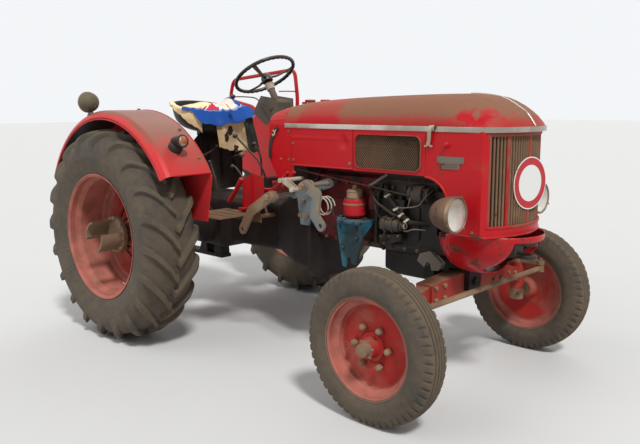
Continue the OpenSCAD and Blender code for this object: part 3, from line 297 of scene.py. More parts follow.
def wall(piece, thickness, offset):
    """Gives an open sheet its thickness; the offset says on which side it grows."""
    made = piece.modifiers.new("Thickness", "SOLIDIFY")
    made.thickness, made.offset = thickness, offset


# ---- Finishes: shader nodes written as sums ----


class Wire:
    """A shader socket that can stand in a sum; each operator adds a Math node."""

    def __init__(self, finish, socket):
        self.finish, self.socket = finish, socket

    def math(self, operation, *values):
        return self.finish.node("ShaderNodeMath", {"operation": operation}, dict(enumerate(values)))

    def __add__(self, other):
        return self.math("ADD", self, other)

    def __sub__(self, other):
        return self.math("SUBTRACT", self, other)

    def __rsub__(self, other):
        return self.math("SUBTRACT", other, self)

    def __mul__(self, other):
        return self.math("MULTIPLY", self, other)

    def __pow__(self, other):
        return self.math("POWER", self, other)

    __radd__ = __add__
    __rmul__ = __mul__

    def step(self, low, high):
        """0 below low, 1 above high, and a smooth rise between."""
        settings = {"interpolation_type": "SMOOTHSTEP"}
        return self.finish.node("ShaderNodeMapRange", settings, {0: self, 1: low, 2: high, 3: 0.0, 4: 1.0})

    def clamp(self):
        return self.finish.node("ShaderNodeClamp", {}, {0: self})


class Finish:
    """A material under construction."""

    def __init__(self, name, **constants):
        self.material = bpy.data.materials.new(name)
        self.material.use_nodes = True
        self.tree = self.material.node_tree
        self.tree.nodes.clear()
        self.shader = self.tree.nodes.new("ShaderNodeBsdfPrincipled")
        end = self.tree.nodes.new("ShaderNodeOutputMaterial")
        self.tree.links.new(self.shader.outputs[0], end.inputs[0])
        self.coordinates = self.tree.nodes.new("ShaderNodeTexCoord")
        self.place = Wire(self, self.coordinates.outputs["Object"])
        for socket, value in constants.items():
            self.shader.inputs[socket.replace("_", " ")].default_value = value

    def node(self, kind, settings, sockets, out=0):
        """Adds a node: its settings, then a value or a wire for each socket, by number or name."""
        made = self.tree.nodes.new(kind)
        for key, value in settings.items():
            setattr(made, key, value)
        for key, value in sockets.items():
            self.plug(made.inputs[key], value)
        return Wire(self, made.outputs[out])

    def plug(self, socket, value):
        if isinstance(value, Wire):
            self.tree.links.new(value.socket, socket)
        elif isinstance(value, (tuple, list)) and socket.type == "RGBA":
            socket.default_value = (*value[:3], 1.0)
        else:
            socket.default_value = value

    def set(self, **wires):
        """Plugs wires or values into the shader's sockets; an underscore stands for a space."""
        for socket, value in wires.items():
            self.plug(self.shader.inputs[socket.replace("_", " ")], value)

    def mix(self, factor, a, b):
        """Colour a where factor is 0 and b where it is 1."""
        return self.node("ShaderNodeMix", {"data_type": "RGBA"}, {0: factor, 6: a, 7: b}, 2)

    def noise(self, scale, detail=3.0, offset=0.0):
        """Soft noise from 0 to 1, with scale patches to the metre."""
        where = self.node("ShaderNodeMapping", {}, {0: self.place, 1: (offset, offset, offset)})
        return self.node("ShaderNodeTexNoise", {}, {"Vector": where, "Scale": scale, "Detail": detail})

    def wave(self, direction, scale, where=None, **sockets):
        """Bands that follow each other along one axis."""
        sockets.update(Vector=where or self.place, Scale=scale)
        return self.node("ShaderNodeTexWave", {"bands_direction": direction}, sockets, 1)

    def axis(self, letter, source=None):
        """One coordinate of a vector, in the frame's metres."""
        return self.node("ShaderNodeSeparateXYZ", {}, {0: source or self.place}, "XYZ".index(letter))

    def facing(self, letter):
        """How far the surface faces along an axis of the piece, from -1 to 1."""
        return self.axis(letter, Wire(self, self.coordinates.outputs["Normal"]))

    def from_line(self, centre, letters):
        """Distance from a line through centre: the root of the squares of the two coordinates named."""
        a, b = (self.axis(letter) - centre["XYZ".index(letter)] for letter in letters)
        return (a * a + b * b) ** 0.5

    def bump(self, height, distance, strength):
        relief = {"Height": height, "Distance": distance, "Strength": strength}
        self.set(Normal=self.node("ShaderNodeBump", {}, relief))


DUST = (0.22, 0.13, 0.075)
RUST = (0.1, 0.036, 0.016)
SOOT = (0.012, 0.01, 0.009)


def times(share, colour):
    """A colour made darker or lighter."""
    return tuple(share * c for c in colour)


def worn(name, coat, old=None, fade=0.3, dust=0.2, on_top=0.5, chips=0.3, rough=0.4, under=RUST, grime=0.0,
        **constants):
    """Old paint or metal: patches of a faded colour, dust where
    it lies, and chips down to what is under it."""
    constants.setdefault("Specular_IOR_Level", 0.22)
    f = Finish(name, **constants)
    old = old or tuple(0.7 * c + 0.3 * d for c, d in zip(coat, DUST))
    wide, mid, fine = f.noise(2.6, 4), f.noise(11, 6, offset=3.0), f.noise(85, 5, offset=7.0)
    top = f.facing("Z").step(0.15, 0.95)
    colour = f.mix((wide + 0.35 * mid).step(0.92 - fade, 1.12 - fade), coat, old)
    lying = (dust + on_top * top + (mid - 0.5) * 1.1 * (dust + 0.25 * on_top) + (wide - 0.5) * dust).clamp()
    colour = f.mix(lying, colour, f.mix(fine, DUST, times(0.72, DUST)))
    if grime:
        patches = (mid + 0.5 * wide).step(1.0 - 0.5 * grime, 1.25 - 0.4 * grime)
        colour = f.mix(patches * grime, colour, SOOT)
    bare = (0.62 * mid + 0.38 * fine).step(0.66 - 0.12 * chips, 0.675 - 0.12 * chips)
    colour = f.mix(bare, colour, under)
    f.set(Base_Color=colour, Roughness=(rough + 0.45 * lying + 0.25 * bare).clamp())
    f.bump(0.5 * fine + 0.4 * lying * fine - 0.8 * bare, 0.0012, 0.5)
    f.colour = colour
    return f


# coat, faded coat, share of faded patches, dust, dust on top, chips, roughness, what is under the coat
WORN = {
    "pipe grey": ((0.13, 0.115, 0.1), (0.07, 0.055, 0.045), 0.3, 0.12, 0.35, 0.2, 0.5),
    "grey iron": ((0.055, 0.048, 0.042), (0.03, 0.022, 0.018), 0.3, 0.08, 0.4, 0.2, 0.55),
    "lamp bowl": ((0.17, 0.095, 0.058), (0.06, 0.034, 0.024), 0.38, 0.2, 0.3, 0.25, 0.4),
    "pale metal": ((0.55, 0.5, 0.4), (0.34, 0.28, 0.2), 0.3, 0.12, 0.2, 0.2, 0.5),
    "hose rubber": ((0.012, 0.011, 0.01), (0.028, 0.024, 0.02), 0.3, 0.06, 0.3, 0.0, 0.6),
    # painted shade: near black for the block and slats that stand for shade in the panels' seam and behind
    # the grille
    "gap": ((0.006, 0.005, 0.005), None, 0.3, 0.0, 0.03, 0.0, 0.9),
    "can paint": ((0.42, 0.006, 0.014), None, 0.1, 0.05, 0.3, 0.3, 0.35, (0.03, 0.01, 0.008)),
    "tan steel": ((0.3, 0.205, 0.13), (0.17, 0.1, 0.06), 0.35, 0.35, 0.3, 0.25, 0.6, (0.08, 0.045, 0.025)),
    "blued tan": ((0.27, 0.215, 0.15), (0.13, 0.19, 0.22), 0.42, 0.25, 0.3, 0.2, 0.55, (0.06, 0.04, 0.03)),
    "black steel": ((0.022, 0.02, 0.019), (0.055, 0.046, 0.038), 0.28, 0.06, 0.25, 0.1, 0.42,
        (0.06, 0.05, 0.04)),
    "dash grey": ((0.07, 0.064, 0.055), (0.12, 0.1, 0.078), 0.33, 0.12, 0.35, 0.22, 0.6,
        (0.03, 0.027, 0.024)),
    "drab lamp": ((0.11, 0.097, 0.063), (0.06, 0.05, 0.038), 0.4, 0.1, 0.3, 0.35, 0.5, (0.24, 0.22, 0.17)),
    "lamp rim": ((0.28, 0.2, 0.135), (0.13, 0.085, 0.055), 0.35, 0.2, 0.2, 0.2, 0.3),
    "teal paint": ((0.022, 0.13, 0.19), (0.012, 0.03, 0.036), 0.34, 0.03, 0.3, 0.45, 0.5,
        (0.015, 0.013, 0.012)),
    "bright trim": ((0.6, 0.57, 0.52), (0.36, 0.32, 0.27), 0.35, 0.1, 0.1, 0.22, 0.26, (0.09, 0.055, 0.035)),
    "plate metal": ((0.27, 0.26, 0.225), (0.17, 0.15, 0.12), 0.4, 0.08, 0.1, 0.0, 0.4),
    "black grip": ((0.009, 0.009, 0.009), (0.03, 0.026, 0.022), 0.2, 0.04, 0.22, 0.0, 0.3),
    "grille slats": ((0.3, 0.2, 0.125), (0.17, 0.1, 0.06), 0.4, 0.25, 0.2, 0.3, 0.75, (0.05, 0.028, 0.018)),
    "seat black": ((0.012, 0.011, 0.011), (0.025, 0.021, 0.018), 0.3, 0.03, 0.2, 0.1, 0.6,
        (0.04, 0.03, 0.025)),
}

# what their shaders have beside it
CONSTANTS = {
    "lamp rim": {"Metallic": 0.5},
    "bright trim": {"Metallic": 0.85},
    "plate metal": {"Metallic": 0.4},
    "black grip": {"Specular_IOR_Level": 0.45},
    "chin paint": {"Coat_Weight": 0.1},
}


def finishes(colours):
    """Every finish by name, from the colours that the panel gives."""
    red, sunlit, pale, rubber, dust = (
        tuple(getattr(colours, name)) for name in ("paint", "sunlit", "faded", "rubber", "dust")
    )
    painted = {
        "red paint": (red, None, 0.1, 0.03, 0.3, 0.08, 0.34),
        "chin paint": (red, None, 0.05, 0.02, 0.15, 0.85, 0.28, (0.07, 0.04, 0.022)),
        "faded rim": (pale, DUST, 0.15, 0.15, 0.2, 0.15, 0.6),
        "axle paint": (times(0.75, red), None, 0.2, 0.3, 0.6, 0.2, 0.5),
        "grille bar": (times(0.85, red), (0.26, 0.07, 0.05), 0.3, 0.12, 0.1, 0.2, 0.5),
        # painted shade in part: castings under the body are near black, with dark red patches for red paint
        # in shade; the soot patches are grime
        "casting paint": ((0.02, 0.012, 0.01), times(0.12, red), 0.24, 0.02, 0.22, 0.2, 0.55,
            (0.012, 0.009, 0.008), 0.9),
    }
    made = [
        *(worn(name, *row, **CONSTANTS.get(name, {})) for name, row in {**WORN, **painted}.items()),
        # painted light: the fenders take the lighter, sunlit red
        fender_paint(sunlit),
        bonnet_paint(red),
        engine_iron(),
        floor_plate(red),
        # painted shade: the rims' red is darkened to 0.65 (rear) and 0.85 (front) of the bodywork's red, as
        # the rims lie in shade
        rim_paint("rear rim paint", times(0.65, red), pale, REAR_HUB, 0.131, 0.33),
        rim_paint("front rim paint", times(0.85, red), pale, FRONT_HUB, 0.041, 0.2),
        tyre_rubber("rear rubber", rubber, dust, REAR_HUB, REAR_R),
        tyre_rubber("front rubber", rubber, dust, FRONT_HUB, FRONT_R),
        sign_face(red),
        lamp_glass(),
        amber_glass(),
        foam_rubber(),
        woven("canvas", (0.78, 0.6, 0.36), (0.5, 0.35, 0.18), holes=True),
        # painted shade: the near-black cloth of the flap that stands for the cushion's shaded side
        woven("painted shade cloth", (0.055, 0.058, 0.048), (0.03, 0.03, 0.026)),
        blanket(),
    ]
    return {f.material.name: f.material for f in made}


def fender_paint(red):
    """Red with thick dust on the crown, and painted shade: near black on the underside, where the surface
    faces the axle and lies in shade.
    """
    f = worn("fender paint", red, fade=0.1, dust=0.05, on_top=0.0, chips=0.08, rough=0.36)
    x, z = f.axis("X") - AXLE_X, f.axis("Z") - REAR_R
    # painted shade: faces turned towards the axle get the near-black colour below, as they lie in shade
    outward = (x * f.facing("X") + z * f.facing("Z")).step(-0.5, -0.3)
    crown = f.facing("Z").step(0.3, 0.9)
    patchy = crown * 1.3 + (f.noise(5, 5) - 0.5) * 1.5 + (f.noise(24, 6, offset=9.0) - 0.5) * 1.3
    patchy = (patchy - 0.3 + (-0.5 * x).clamp()).clamp()
    film = f.mix(f.noise(60, 4), (0.235, 0.09, 0.058), (0.19, 0.1, 0.062))
    f.set(Base_Color=f.mix(outward, (0.016, 0.012, 0.01), f.mix(patchy * 0.92, f.colour, film)))
    return f


def bonnet_paint(red):
    """Red under dust: thick on the crown, thin towards the strip and where it was rubbed off."""
    f = Finish("bonnet paint", Specular_IOR_Level=0.2)
    x, z = f.axis("X") - AXLE_X, f.axis("Z")
    wide, mid, fine = f.noise(3, 4), f.noise(12, 6, offset=2.0), f.noise(80, 5, offset=5.0)
    thick = z.step(1.425, 1.5) * 0.85 + 0.25 + (wide - 0.5) * 0.5 + (mid - 0.5) * 0.5
    rear_rub = (x - 1.28) * (x - 1.28) * 22 + (wide - 0.5) * 1.2
    front_rub = (x - 2.28) * (x - 2.28) * 30 + (z - 1.475) * (z - 1.475) * 260 + (mid - 0.5) * 3.0
    thick = thick - (1 - rear_rub.step(0.1, 0.9)) * 0.55 - (1 - front_rub.step(-0.1, 0.45)) * 0.75
    lying = thick.clamp()
    film = f.mix(fine, (0.255, 0.118, 0.07), (0.21, 0.095, 0.058))
    colour = f.mix(lying, f.mix(mid, red, times(0.75, red)), film)
    specks = (0.55 * mid + 0.45 * fine).step(0.69, 0.7)
    f.set(Base_Color=f.mix(specks, colour, (0.08, 0.04, 0.025)), Roughness=(0.42 + 0.4 * lying).clamp())
    f.bump(fine * lying * 0.6 - specks, 0.001, 0.5)
    return f


def engine_iron():
    """Oily iron, nearly black in front, and dark maroon paint behind the cross line. Both are partly painted
    shade: the iron is darkened for the shaded bay, and the maroon is red paint as it looks in shade.
    """
    # painted shade: the iron's near-black coat is darker than its own colour, for the shaded engine bay
    black, brown, rust = (0.012, 0.0105, 0.0095), (0.03, 0.022, 0.017), (0.035, 0.025, 0.018)
    f = worn("engine iron", black, brown, 0.3, 0.01, 0.2, 0.1, 0.5, rust)
    x, z = f.axis("X") - AXLE_X, f.axis("Z")
    paint = (1 - (x + 0.02 * f.noise(20, 4)).step(1.62, 1.66)) * z.step(0.62, 0.8)
    stain = f.noise(14, 5, offset=4.0)
    # painted shade: dark maroon stands for the red paint as it looks in shade
    maroon = f.mix(stain.step(0.4, 0.7), (0.13, 0.009, 0.012), (0.022, 0.01, 0.009))
    f.set(Base_Color=f.mix(paint * 0.92, f.colour, maroon))
    return f


def floor_plate(red):
    """Dusty plates to stand on, and red toe boards above them."""
    f = worn("floor plate", (0.2, 0.125, 0.075), (0.12, 0.075, 0.045), 0.4, 0.35, 0.3, 0.1, 0.8)
    board = f.axis("Z").step(0.846, 0.852)
    scratched = f.mix(f.noise(30, 5).step(0.5, 0.72), red, (0.12, 0.03, 0.02))
    f.set(Base_Color=f.mix(board * 0.95, f.colour, scratched))
    return f


def rim_paint(name, red, pale, centre, steel_r, barrel_r):
    """Red discs in a barrel that faded to a dusty pink, with bare dusty steel round the axle.

    r is the distance from the axle; bare steel ends at steel_r, and the faded barrel begins at barrel_r."""
    old = tuple(0.5 * c + 0.5 * p for c, p in zip(red, pale))
    f = worn(name, red, old, 0.3, 0.2, 0.3, 0.2, 0.6, grime=0.2)
    r = f.from_line(centre, "XZ")
    mottle = f.noise(9, 5, offset=6.0)
    barrel = (r + (mottle - 0.5) * 0.05).step(barrel_r - 0.012, barrel_r + 0.012)
    washed = f.mix(mottle.step(0.4, 0.65), pale, tuple(0.6 * c + 0.15 * d for c, d in zip(pale, DUST)))
    steel = f.mix(f.noise(18, 5), (0.26, 0.18, 0.115), (0.14, 0.085, 0.052))
    painted = f.mix(barrel * 0.85, f.colour, washed)
    f.set(Base_Color=f.mix(1 - r.step(steel_r - 0.003, steel_r + 0.003), painted, steel))
    return f


def lamp_glass():
    """Glass over a bright bowl, with a painted reflection: the lower half is painted bright as if it mirrored
    the light, and the upper half is dull.
    """
    f = Finish("lens", Metallic=0.85, Coat_Weight=0.4)
    mid = f.noise(24, 5)
    z = f.axis("Z") - 1.005
    # painted reflection: the base colour is brightest low on the glass
    bright = (z * -9 + 0.42 + (mid - 0.5) * 0.5).clamp()
    colour = f.mix(bright, (0.36, 0.31, 0.25), (0.95, 0.93, 0.86))
    f.set(Base_Color=colour, Roughness=(0.42 - 0.2 * bright + 0.2 * mid).clamp())
    f.bump(f.wave("Y", 26.0, Distortion=0.3), 0.0012, 0.4)
    return f


def amber_glass():
    """A lamp's glass: amber above and clear below."""
    f = Finish("amber lens", Roughness=0.18, Coat_Weight=0.5)
    split = (f.axis("Z") - 1.302).step(-0.002, 0.004)
    mid = f.noise(60, 5)
    clear, amber = ((0.42, 0.38, 0.33), (0.2, 0.16, 0.13)), ((0.42, 0.13, 0.045), (0.22, 0.07, 0.03))
    f.set(Base_Color=f.mix(split, f.mix(mid, *clear), f.mix(mid, *amber)))
    f.bump(f.wave("Z", 60.0), 0.001, 0.5)
    return f


def foam_rubber():
    """Old yellow foam with fine pores, browned in patches."""
    f = Finish("foam", Specular_IOR_Level=0.2, Roughness=0.9)
    wide, pores = f.noise(9, 5), f.noise(240, 3, offset=2.0)
    colour = f.mix(wide.step(0.35, 0.75), (0.95, 0.8, 0.47), (0.7, 0.53, 0.27))
    f.set(Base_Color=f.mix(pores.step(0.6, 0.72) * 0.6, colour, (0.3, 0.19, 0.09)))
    f.bump(pores + 0.6 * f.noise(60, 4), 0.002, 0.7)
    return f


# y, z and size of each hole in the canvas
HOLES = ((0.0, 1.345, 0.0011), (-0.03, 1.3, 0.0009), (0.105, 1.43, 0.0004), (0.06, 1.215, 0.0003))


def woven(name, colour, soiled, holes=False):
    """Coarse cloth with stains, and in places worn through to the dark behind it."""
    f = Finish(name, Specular_IOR_Level=0.15, Roughness=0.92)
    wide, mid, thread = f.noise(7, 5), f.noise(38, 5, offset=2.0), f.noise(420, 2, offset=3.0)
    mixed = f.mix((wide + 0.3 * mid).step(0.5, 0.85), colour, soiled)
    if holes:
        y, z = f.axis("Y"), f.axis("Z")
        torn = 0 * y
        for cy, cz, size in HOLES:
            away = (y - cy) * (y - cy) + (z - cz) * (z - cz) * 0.6 + (mid - 0.5) * 0.002
            torn = torn + (1 - away.step(0.6 * size, 0.85 * size))
        mixed = f.mix(torn.clamp(), mixed, (0.02, 0.016, 0.013))
    f.set(Base_Color=f.mix(thread.step(0.55, 0.7) * 0.4, mixed, soiled))
    f.bump(thread + mid, 0.0012, 0.6)
    return f


CREAM, CRIMSON = (0.86, 0.84, 0.8), (0.62, 0.03, 0.075)
# where each of the cloth's bands begins and ends along it, and its colour
BANDS = (
    (0.0, 0.3, (0.5, 0.035, 0.09)), (0.045, 0.075, (0.85, 0.83, 0.78)), (0.12, 0.15, (0.75, 0.6, 0.2)),
    (0.2, 0.235, (0.85, 0.83, 0.78)), (0.3, 0.345, CREAM), (0.345, 0.55, CRIMSON), (0.55, 0.59, CREAM),
    (0.59, 0.86, (0.8, 0.74, 0.62)), (0.7, 0.72, CRIMSON),
)


def band(wire, low, high, soft):
    """1 between low and high, with soft edges."""
    return wire.step(low - soft, low + soft) * (1 - wire.step(high - soft, high + soft))


def blanket():
    """A printed cloth of plain bands: blue with light lines, crossed by red, white and cream bands.

    Its weave's height is two sets of threads across each other, from the cloth's own flat coordinates."""
    f = Finish("blanket", Specular_IOR_Level=0.15, Roughness=0.88)
    flat = Wire(f, f.coordinates.outputs["UV"])
    u, v = f.axis("X", flat), f.axis("Y", flat)
    stain = f.noise(14, 5)
    colour = f.mix(stain, (0.016, 0.075, 0.34), (0.024, 0.11, 0.42))
    inner = 1 - v.step(0.555, 0.565)
    for low, high, paint in BANDS:
        colour = f.mix(band(u + 0.18 * v, low, high, 0.004) * inner, colour, paint)
    for low, high in ((0.575, 0.59), (0.62, 0.628)):
        colour = f.mix(band(v, low, high, 0.003), colour, (0.78, 0.8, 0.84))
    f.set(Base_Color=f.mix((stain.step(0.55, 0.8) * 0.3), colour, DUST))
    weave = f.wave("X", 60.0, flat) * 0.5 + f.wave("Y", 60.0, flat) * 0.5
    f.bump(weave + 0.7 * f.noise(90, 4), 0.0012, 0.5)
    return f


def tyre_rubber(name, rubber, dust, centre, radius):
    """Rubber with dust in the hollows; r is the distance from the axle, so that bands follow the tyre."""
    f = Finish(name)
    r = f.from_line(centre, "XZ") * (1 / radius)
    wide, mid, fine = f.noise(5, 5), f.noise(26, 6, offset=2.0), f.noise(160, 4, offset=4.0)
    lying = (0.58 + (wide - 0.5) * 1.5 + (mid - 0.5) * 1.3 + r.step(0.955, 0.985) * 0.3).clamp()
    colour = f.mix(lying, rubber, f.mix(mid, dust, times(0.7, dust)))
    scuffs = (0.5 * mid + 0.5 * fine).step(0.64, 0.68)
    f.set(Base_Color=f.mix(scuffs * 0.5, colour, times(1.6, dust)), Roughness=(0.72 + 0.2 * lying).clamp())
    f.bump(0.6 * fine + 0.7 * mid, 0.0016, 0.7)
    return f


def sign_face(red):
    """A white disc with a red ring: the ring lies between two shares of the distance from its middle."""
    f = Finish("sign face", Roughness=0.35)
    low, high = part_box("round_sign")
    r = f.from_line((low + high) / 2, "YZ") * (2 / (high.z - low.z))
    mid, fine = f.noise(30, 5), f.noise(220, 4)
    ring = r.step(0.685, 0.7) * (1 - r.step(0.955, 0.965))
    colour = f.mix(ring, (0.72, 0.72, 0.7), times(0.95, red))
    worn_off = (r * 0.35 + 0.65 * mid + 0.15 * fine).step(0.82, 0.84)
    f.set(Base_Color=f.mix(worn_off * 0.8, colour, (0.3, 0.17, 0.1)))
    f.bump(mid, 0.0008, 0.3)
    return f


# ---- What a user can change ----


def colour(name, description, default):
    """A colour that the panel shows."""
    return bpy.props.FloatVectorProperty(
        name=name, description=description, default=default, subtype="COLOR", size=3, min=0, max=1
    )


def length(name, description, default, low, high):
    """A length in metres that the panel shows."""
    return bpy.props.FloatProperty(
        name=name, description=description, default=default, min=low, max=high, unit="LENGTH"
    )


class TractorFinish(bpy.types.PropertyGroup):
    """Colours and wear of the tractor."""

    paint: colour("Paint", "Red of the bodywork", (0.46, 0.004, 0.01))
    # painted light: a lighter, sunlit copy of the bodywork's red, used for the fenders
    sunlit: colour("Fender paint", "Lighter red of the fenders", (0.58, 0.024, 0.03))
    faded: colour("Faded paint", "Pink that the wheels' paint has faded to", (0.42, 0.145, 0.11))
    rubber: colour("Rubber", "Bare rubber of the tyres", (0.03, 0.027, 0.023))
    dust: colour("Dust", "Dry soil on the tyres", (0.13, 0.096, 0.062))
    floor: colour("Floor", "Colour of the plain floor", (0.62, 0.62, 0.61))


class TractorSizes(bpy.types.PropertyGroup):
    """Sizes of the pieces that only the looks have."""

    strip_height: length("Strip height", "Height of the bright strip", 0.027, 0.02, 0.032)
    mesh_pitch: length("Mesh pitch", "Width of a diamond of the side mesh", 0.0145, 0.01, 0.03)
    lug_wear: length("Lug wear", "Most that a lug is worn down", 0.005, 0.0, 0.012)
    notches: bpy.props.IntProperty(
        name="Shoulder notches", description="Notches round each front tyre's shoulder", default=56,
        min=40, max=72
    )
    hem_drop: bpy.props.FloatProperty(
        name="Hem drop", description="Share of the photographed drop of the cloth over the seat's rim",
        default=1.0, min=0.5, max=1.3,
    )


class Dresser:
    """What all the operators share."""

    bl_options = {"REGISTER", "UNDO"}

    @staticmethod
    def sizes(context):
        return context.scene.tractor_sizes


class TRACTOR_OT_finishes(Dresser, bpy.types.Operator):
    """Mixes the finishes and gives each CAD node its own"""

    bl_idname = "tractor.finishes"
    bl_label = "Finishes"

    NODES = {
        "casting paint": "gearbox rear_axle_housing front_frame drawbar",
        "engine iron": "engine",
        "red paint": "side_panel_right side_panel_left nose_shell cowl handrail",
        "chin paint": "chin_apron",
        "fender paint": "fender_right fender_left",
        "bonnet paint": "bonnet_lid",
        "bright trim": "side_strip",
        "grille slats": "grille",
        "sign face": "round_sign",
        "grey iron": "radiator",
        "dash grey": "steering_column",
        "black grip": "steering_wheel",
        "black steel": "seat_pan seat_support fender_lamps hand_levers tow_jaw",
        "drab lamp": "work_lamp",
        "floor plate": "footplates",
        "tan steel": "pedals knuckle_right knuckle_left tie_rod lift_crank_rear",
        "blued tan": "lift_bracket lift_crank_front",
        "lamp bowl": "headlamp_right headlamp_left",
        "axle paint": "front_axle",
        "front rim paint": "front_rim_right front_rim_left",
        "rear rim paint": "rear_rim_right rear_rim_left",
        "rear rubber": "rear_tyre_right rear_tyre_left",
        "front rubber": "front_tyre_right front_tyre_left",
        "teal paint": "hanger_bracket",
        "pale metal": "seat_cushion seat_cloth",
    }

    def execute(self, context):
        FINISH.update(finishes(context.scene.tractor_finish))
        for finish, nodes in self.NODES.items():
            for node in nodes.split():
                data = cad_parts[node].data
                data.materials.clear()
                data.materials.append(FINISH[finish])
        return {"FINISHED"}


class TRACTOR_OT_rear_tyres(Dresser, bpy.types.Operator):
    """Makes the lugged rear tyres"""

    bl_idname = "tractor.rear_tyres"
    bl_label = "Rear tyres"

    # y, casing radius, y over a lug, radius over a lug, share of the lug's sweep
    PROFILE = [
        (0.0, 0.656, 0.0, 0.69, 0.0),
        (0.028, 0.656, 0.028, 0.69, 0.15),
        (0.055, 0.6555, 0.055, 0.689, 0.36),
        (0.085, 0.654, 0.087, 0.686, 0.53),
        (0.11, 0.649, 0.116, 0.682, 0.68),
        (0.131, 0.639, 0.142, 0.672, 0.8),
        (0.149, 0.625, 0.161, 0.658, 0.9),
        (0.164, 0.606, 0.176, 0.638, 0.96),
        (0.175, 0.586, 0.184, 0.615, 1.0),
        (0.1815, 0.566, 0.1855, 0.588, 1.0),
        (0.184, 0.548, 0.1855, 0.56, 1.0),
        (0.1845, 0.53, 0.1845, 0.53, 1.0),
        (0.181, 0.505, 0.181, 0.505, 1.0),
        (0.1725, 0.472, 0.1725, 0.472, 1.0),
        (0.163, 0.443, 0.163, 0.443, 1.0),
        (0.1575, 0.424, 0.1575, 0.424, 1.0),
        (0.1525, 0.412, 0.1525, 0.412, 1.0),
        (0.144, 0.397, 0.144, 0.397, 1.0),
    ]
    LUGS = 20
    SWEEP = 17.0
    # places of the grid's columns in one half of a lug's spacing, in degrees
    COLUMNS = (0.0, 0.8, 1.35, 1.6, 1.85, 2.2, 2.55, 3.3, 4.5, 5.7, 6.45, 6.8, 7.15, 7.4, 7.65, 8.2)

    def tread(self, side, wear):
        """The casing B and the lug tops L are two profiles on the same rows; each
        point is B + m (L - B), where the mask m is 1 on a lug, falls smoothly
        over its wall and is 0 between lugs. Columns follow the sweep."""
        half = curve(self.PROFILE, 4)
        rows = np.vstack([half[:0:-1] * (-1, 1, -1, 1, 1), half])
        turn = np.concatenate([np.array(self.COLUMNS) + 9.0 * k for k in range(2 * self.LUGS)])
        y, r, lug_y, lug_r, sweep = rows.T[:, :, None]
        chance = np.random.default_rng(11)
        mask, worn_by = np.zeros((len(rows), len(turn))), np.zeros((len(rows), len(turn)))
        for sign, phase in ((side, 9.0), (-side, 0.0)):
            where = (turn - phase) / 18.0
            lug = np.round(where).astype(int) % self.LUGS
            off = np.abs(where - np.round(where)) * 18.0 * math.pi / 180 * REAR_R
            out = y * sign / 0.185
            width = 0.0185 + 0.0045 * np.clip(out, 0, 1)
            width = width + 0.0015 * chance.standard_normal(self.LUGS)[lug][None]
            wall = np.clip((width + 0.0095 - off[None]) / 0.0095, 0, 1)
            nose = np.clip((out + 0.07) / 0.07, 0, 1)
            m = wall * wall * (3 - 2 * wall) * nose * nose * (3 - 2 * nose)
            low = chance.random(self.LUGS)[lug][None] ** 2 * wear
            bite = np.exp(-(((out - chance.random(self.LUGS)[lug][None]) / 0.07) ** 2)) * (off[None] > 0.012)
            low = low + 0.008 * bite * (chance.random(self.LUGS)[lug] > 0.45)[None]
            worn_by = np.where(m > mask, low, worn_by)
            mask = np.maximum(mask, m)
        a = np.radians(turn[None] - self.SWEEP * sweep)
        ripple = 0.0012 * np.sin(7 * a + 40 * y) + 0.0008 * np.sin(23 * a - 90 * y)
        ridges = 0.0018 * np.exp(-(((r - 0.447) / 0.004) ** 2))
        ridges = ridges + 0.0014 * np.exp(-(((r - 0.52) / 0.005) ** 2))
        radius = r + mask * (lug_r - r - worn_by) + ripple * (r > 0.5) * (mask < 0.5)
        out = y + mask * (lug_y - y) + np.sign(y) * ridges
        points = np.stack([radius * np.sin(a), out + 0 * a, radius * np.cos(a)], -1)
        return moved(surface(points, True, True), (0, side * -REAR_Y, REAR_R))

    def execute(self, context):
        for side, word in ((1, "right"), (-1, "left")):
            make(f"lugged_tyre_{word}", "rear rubber", self.tread(side, self.sizes(context).lug_wear),
                sharp=50, body=f"rear_wheel_{word}", replaces=f"rear_tyre_{word}", slot="tyre_rubber")
        return {"FINISHED"}


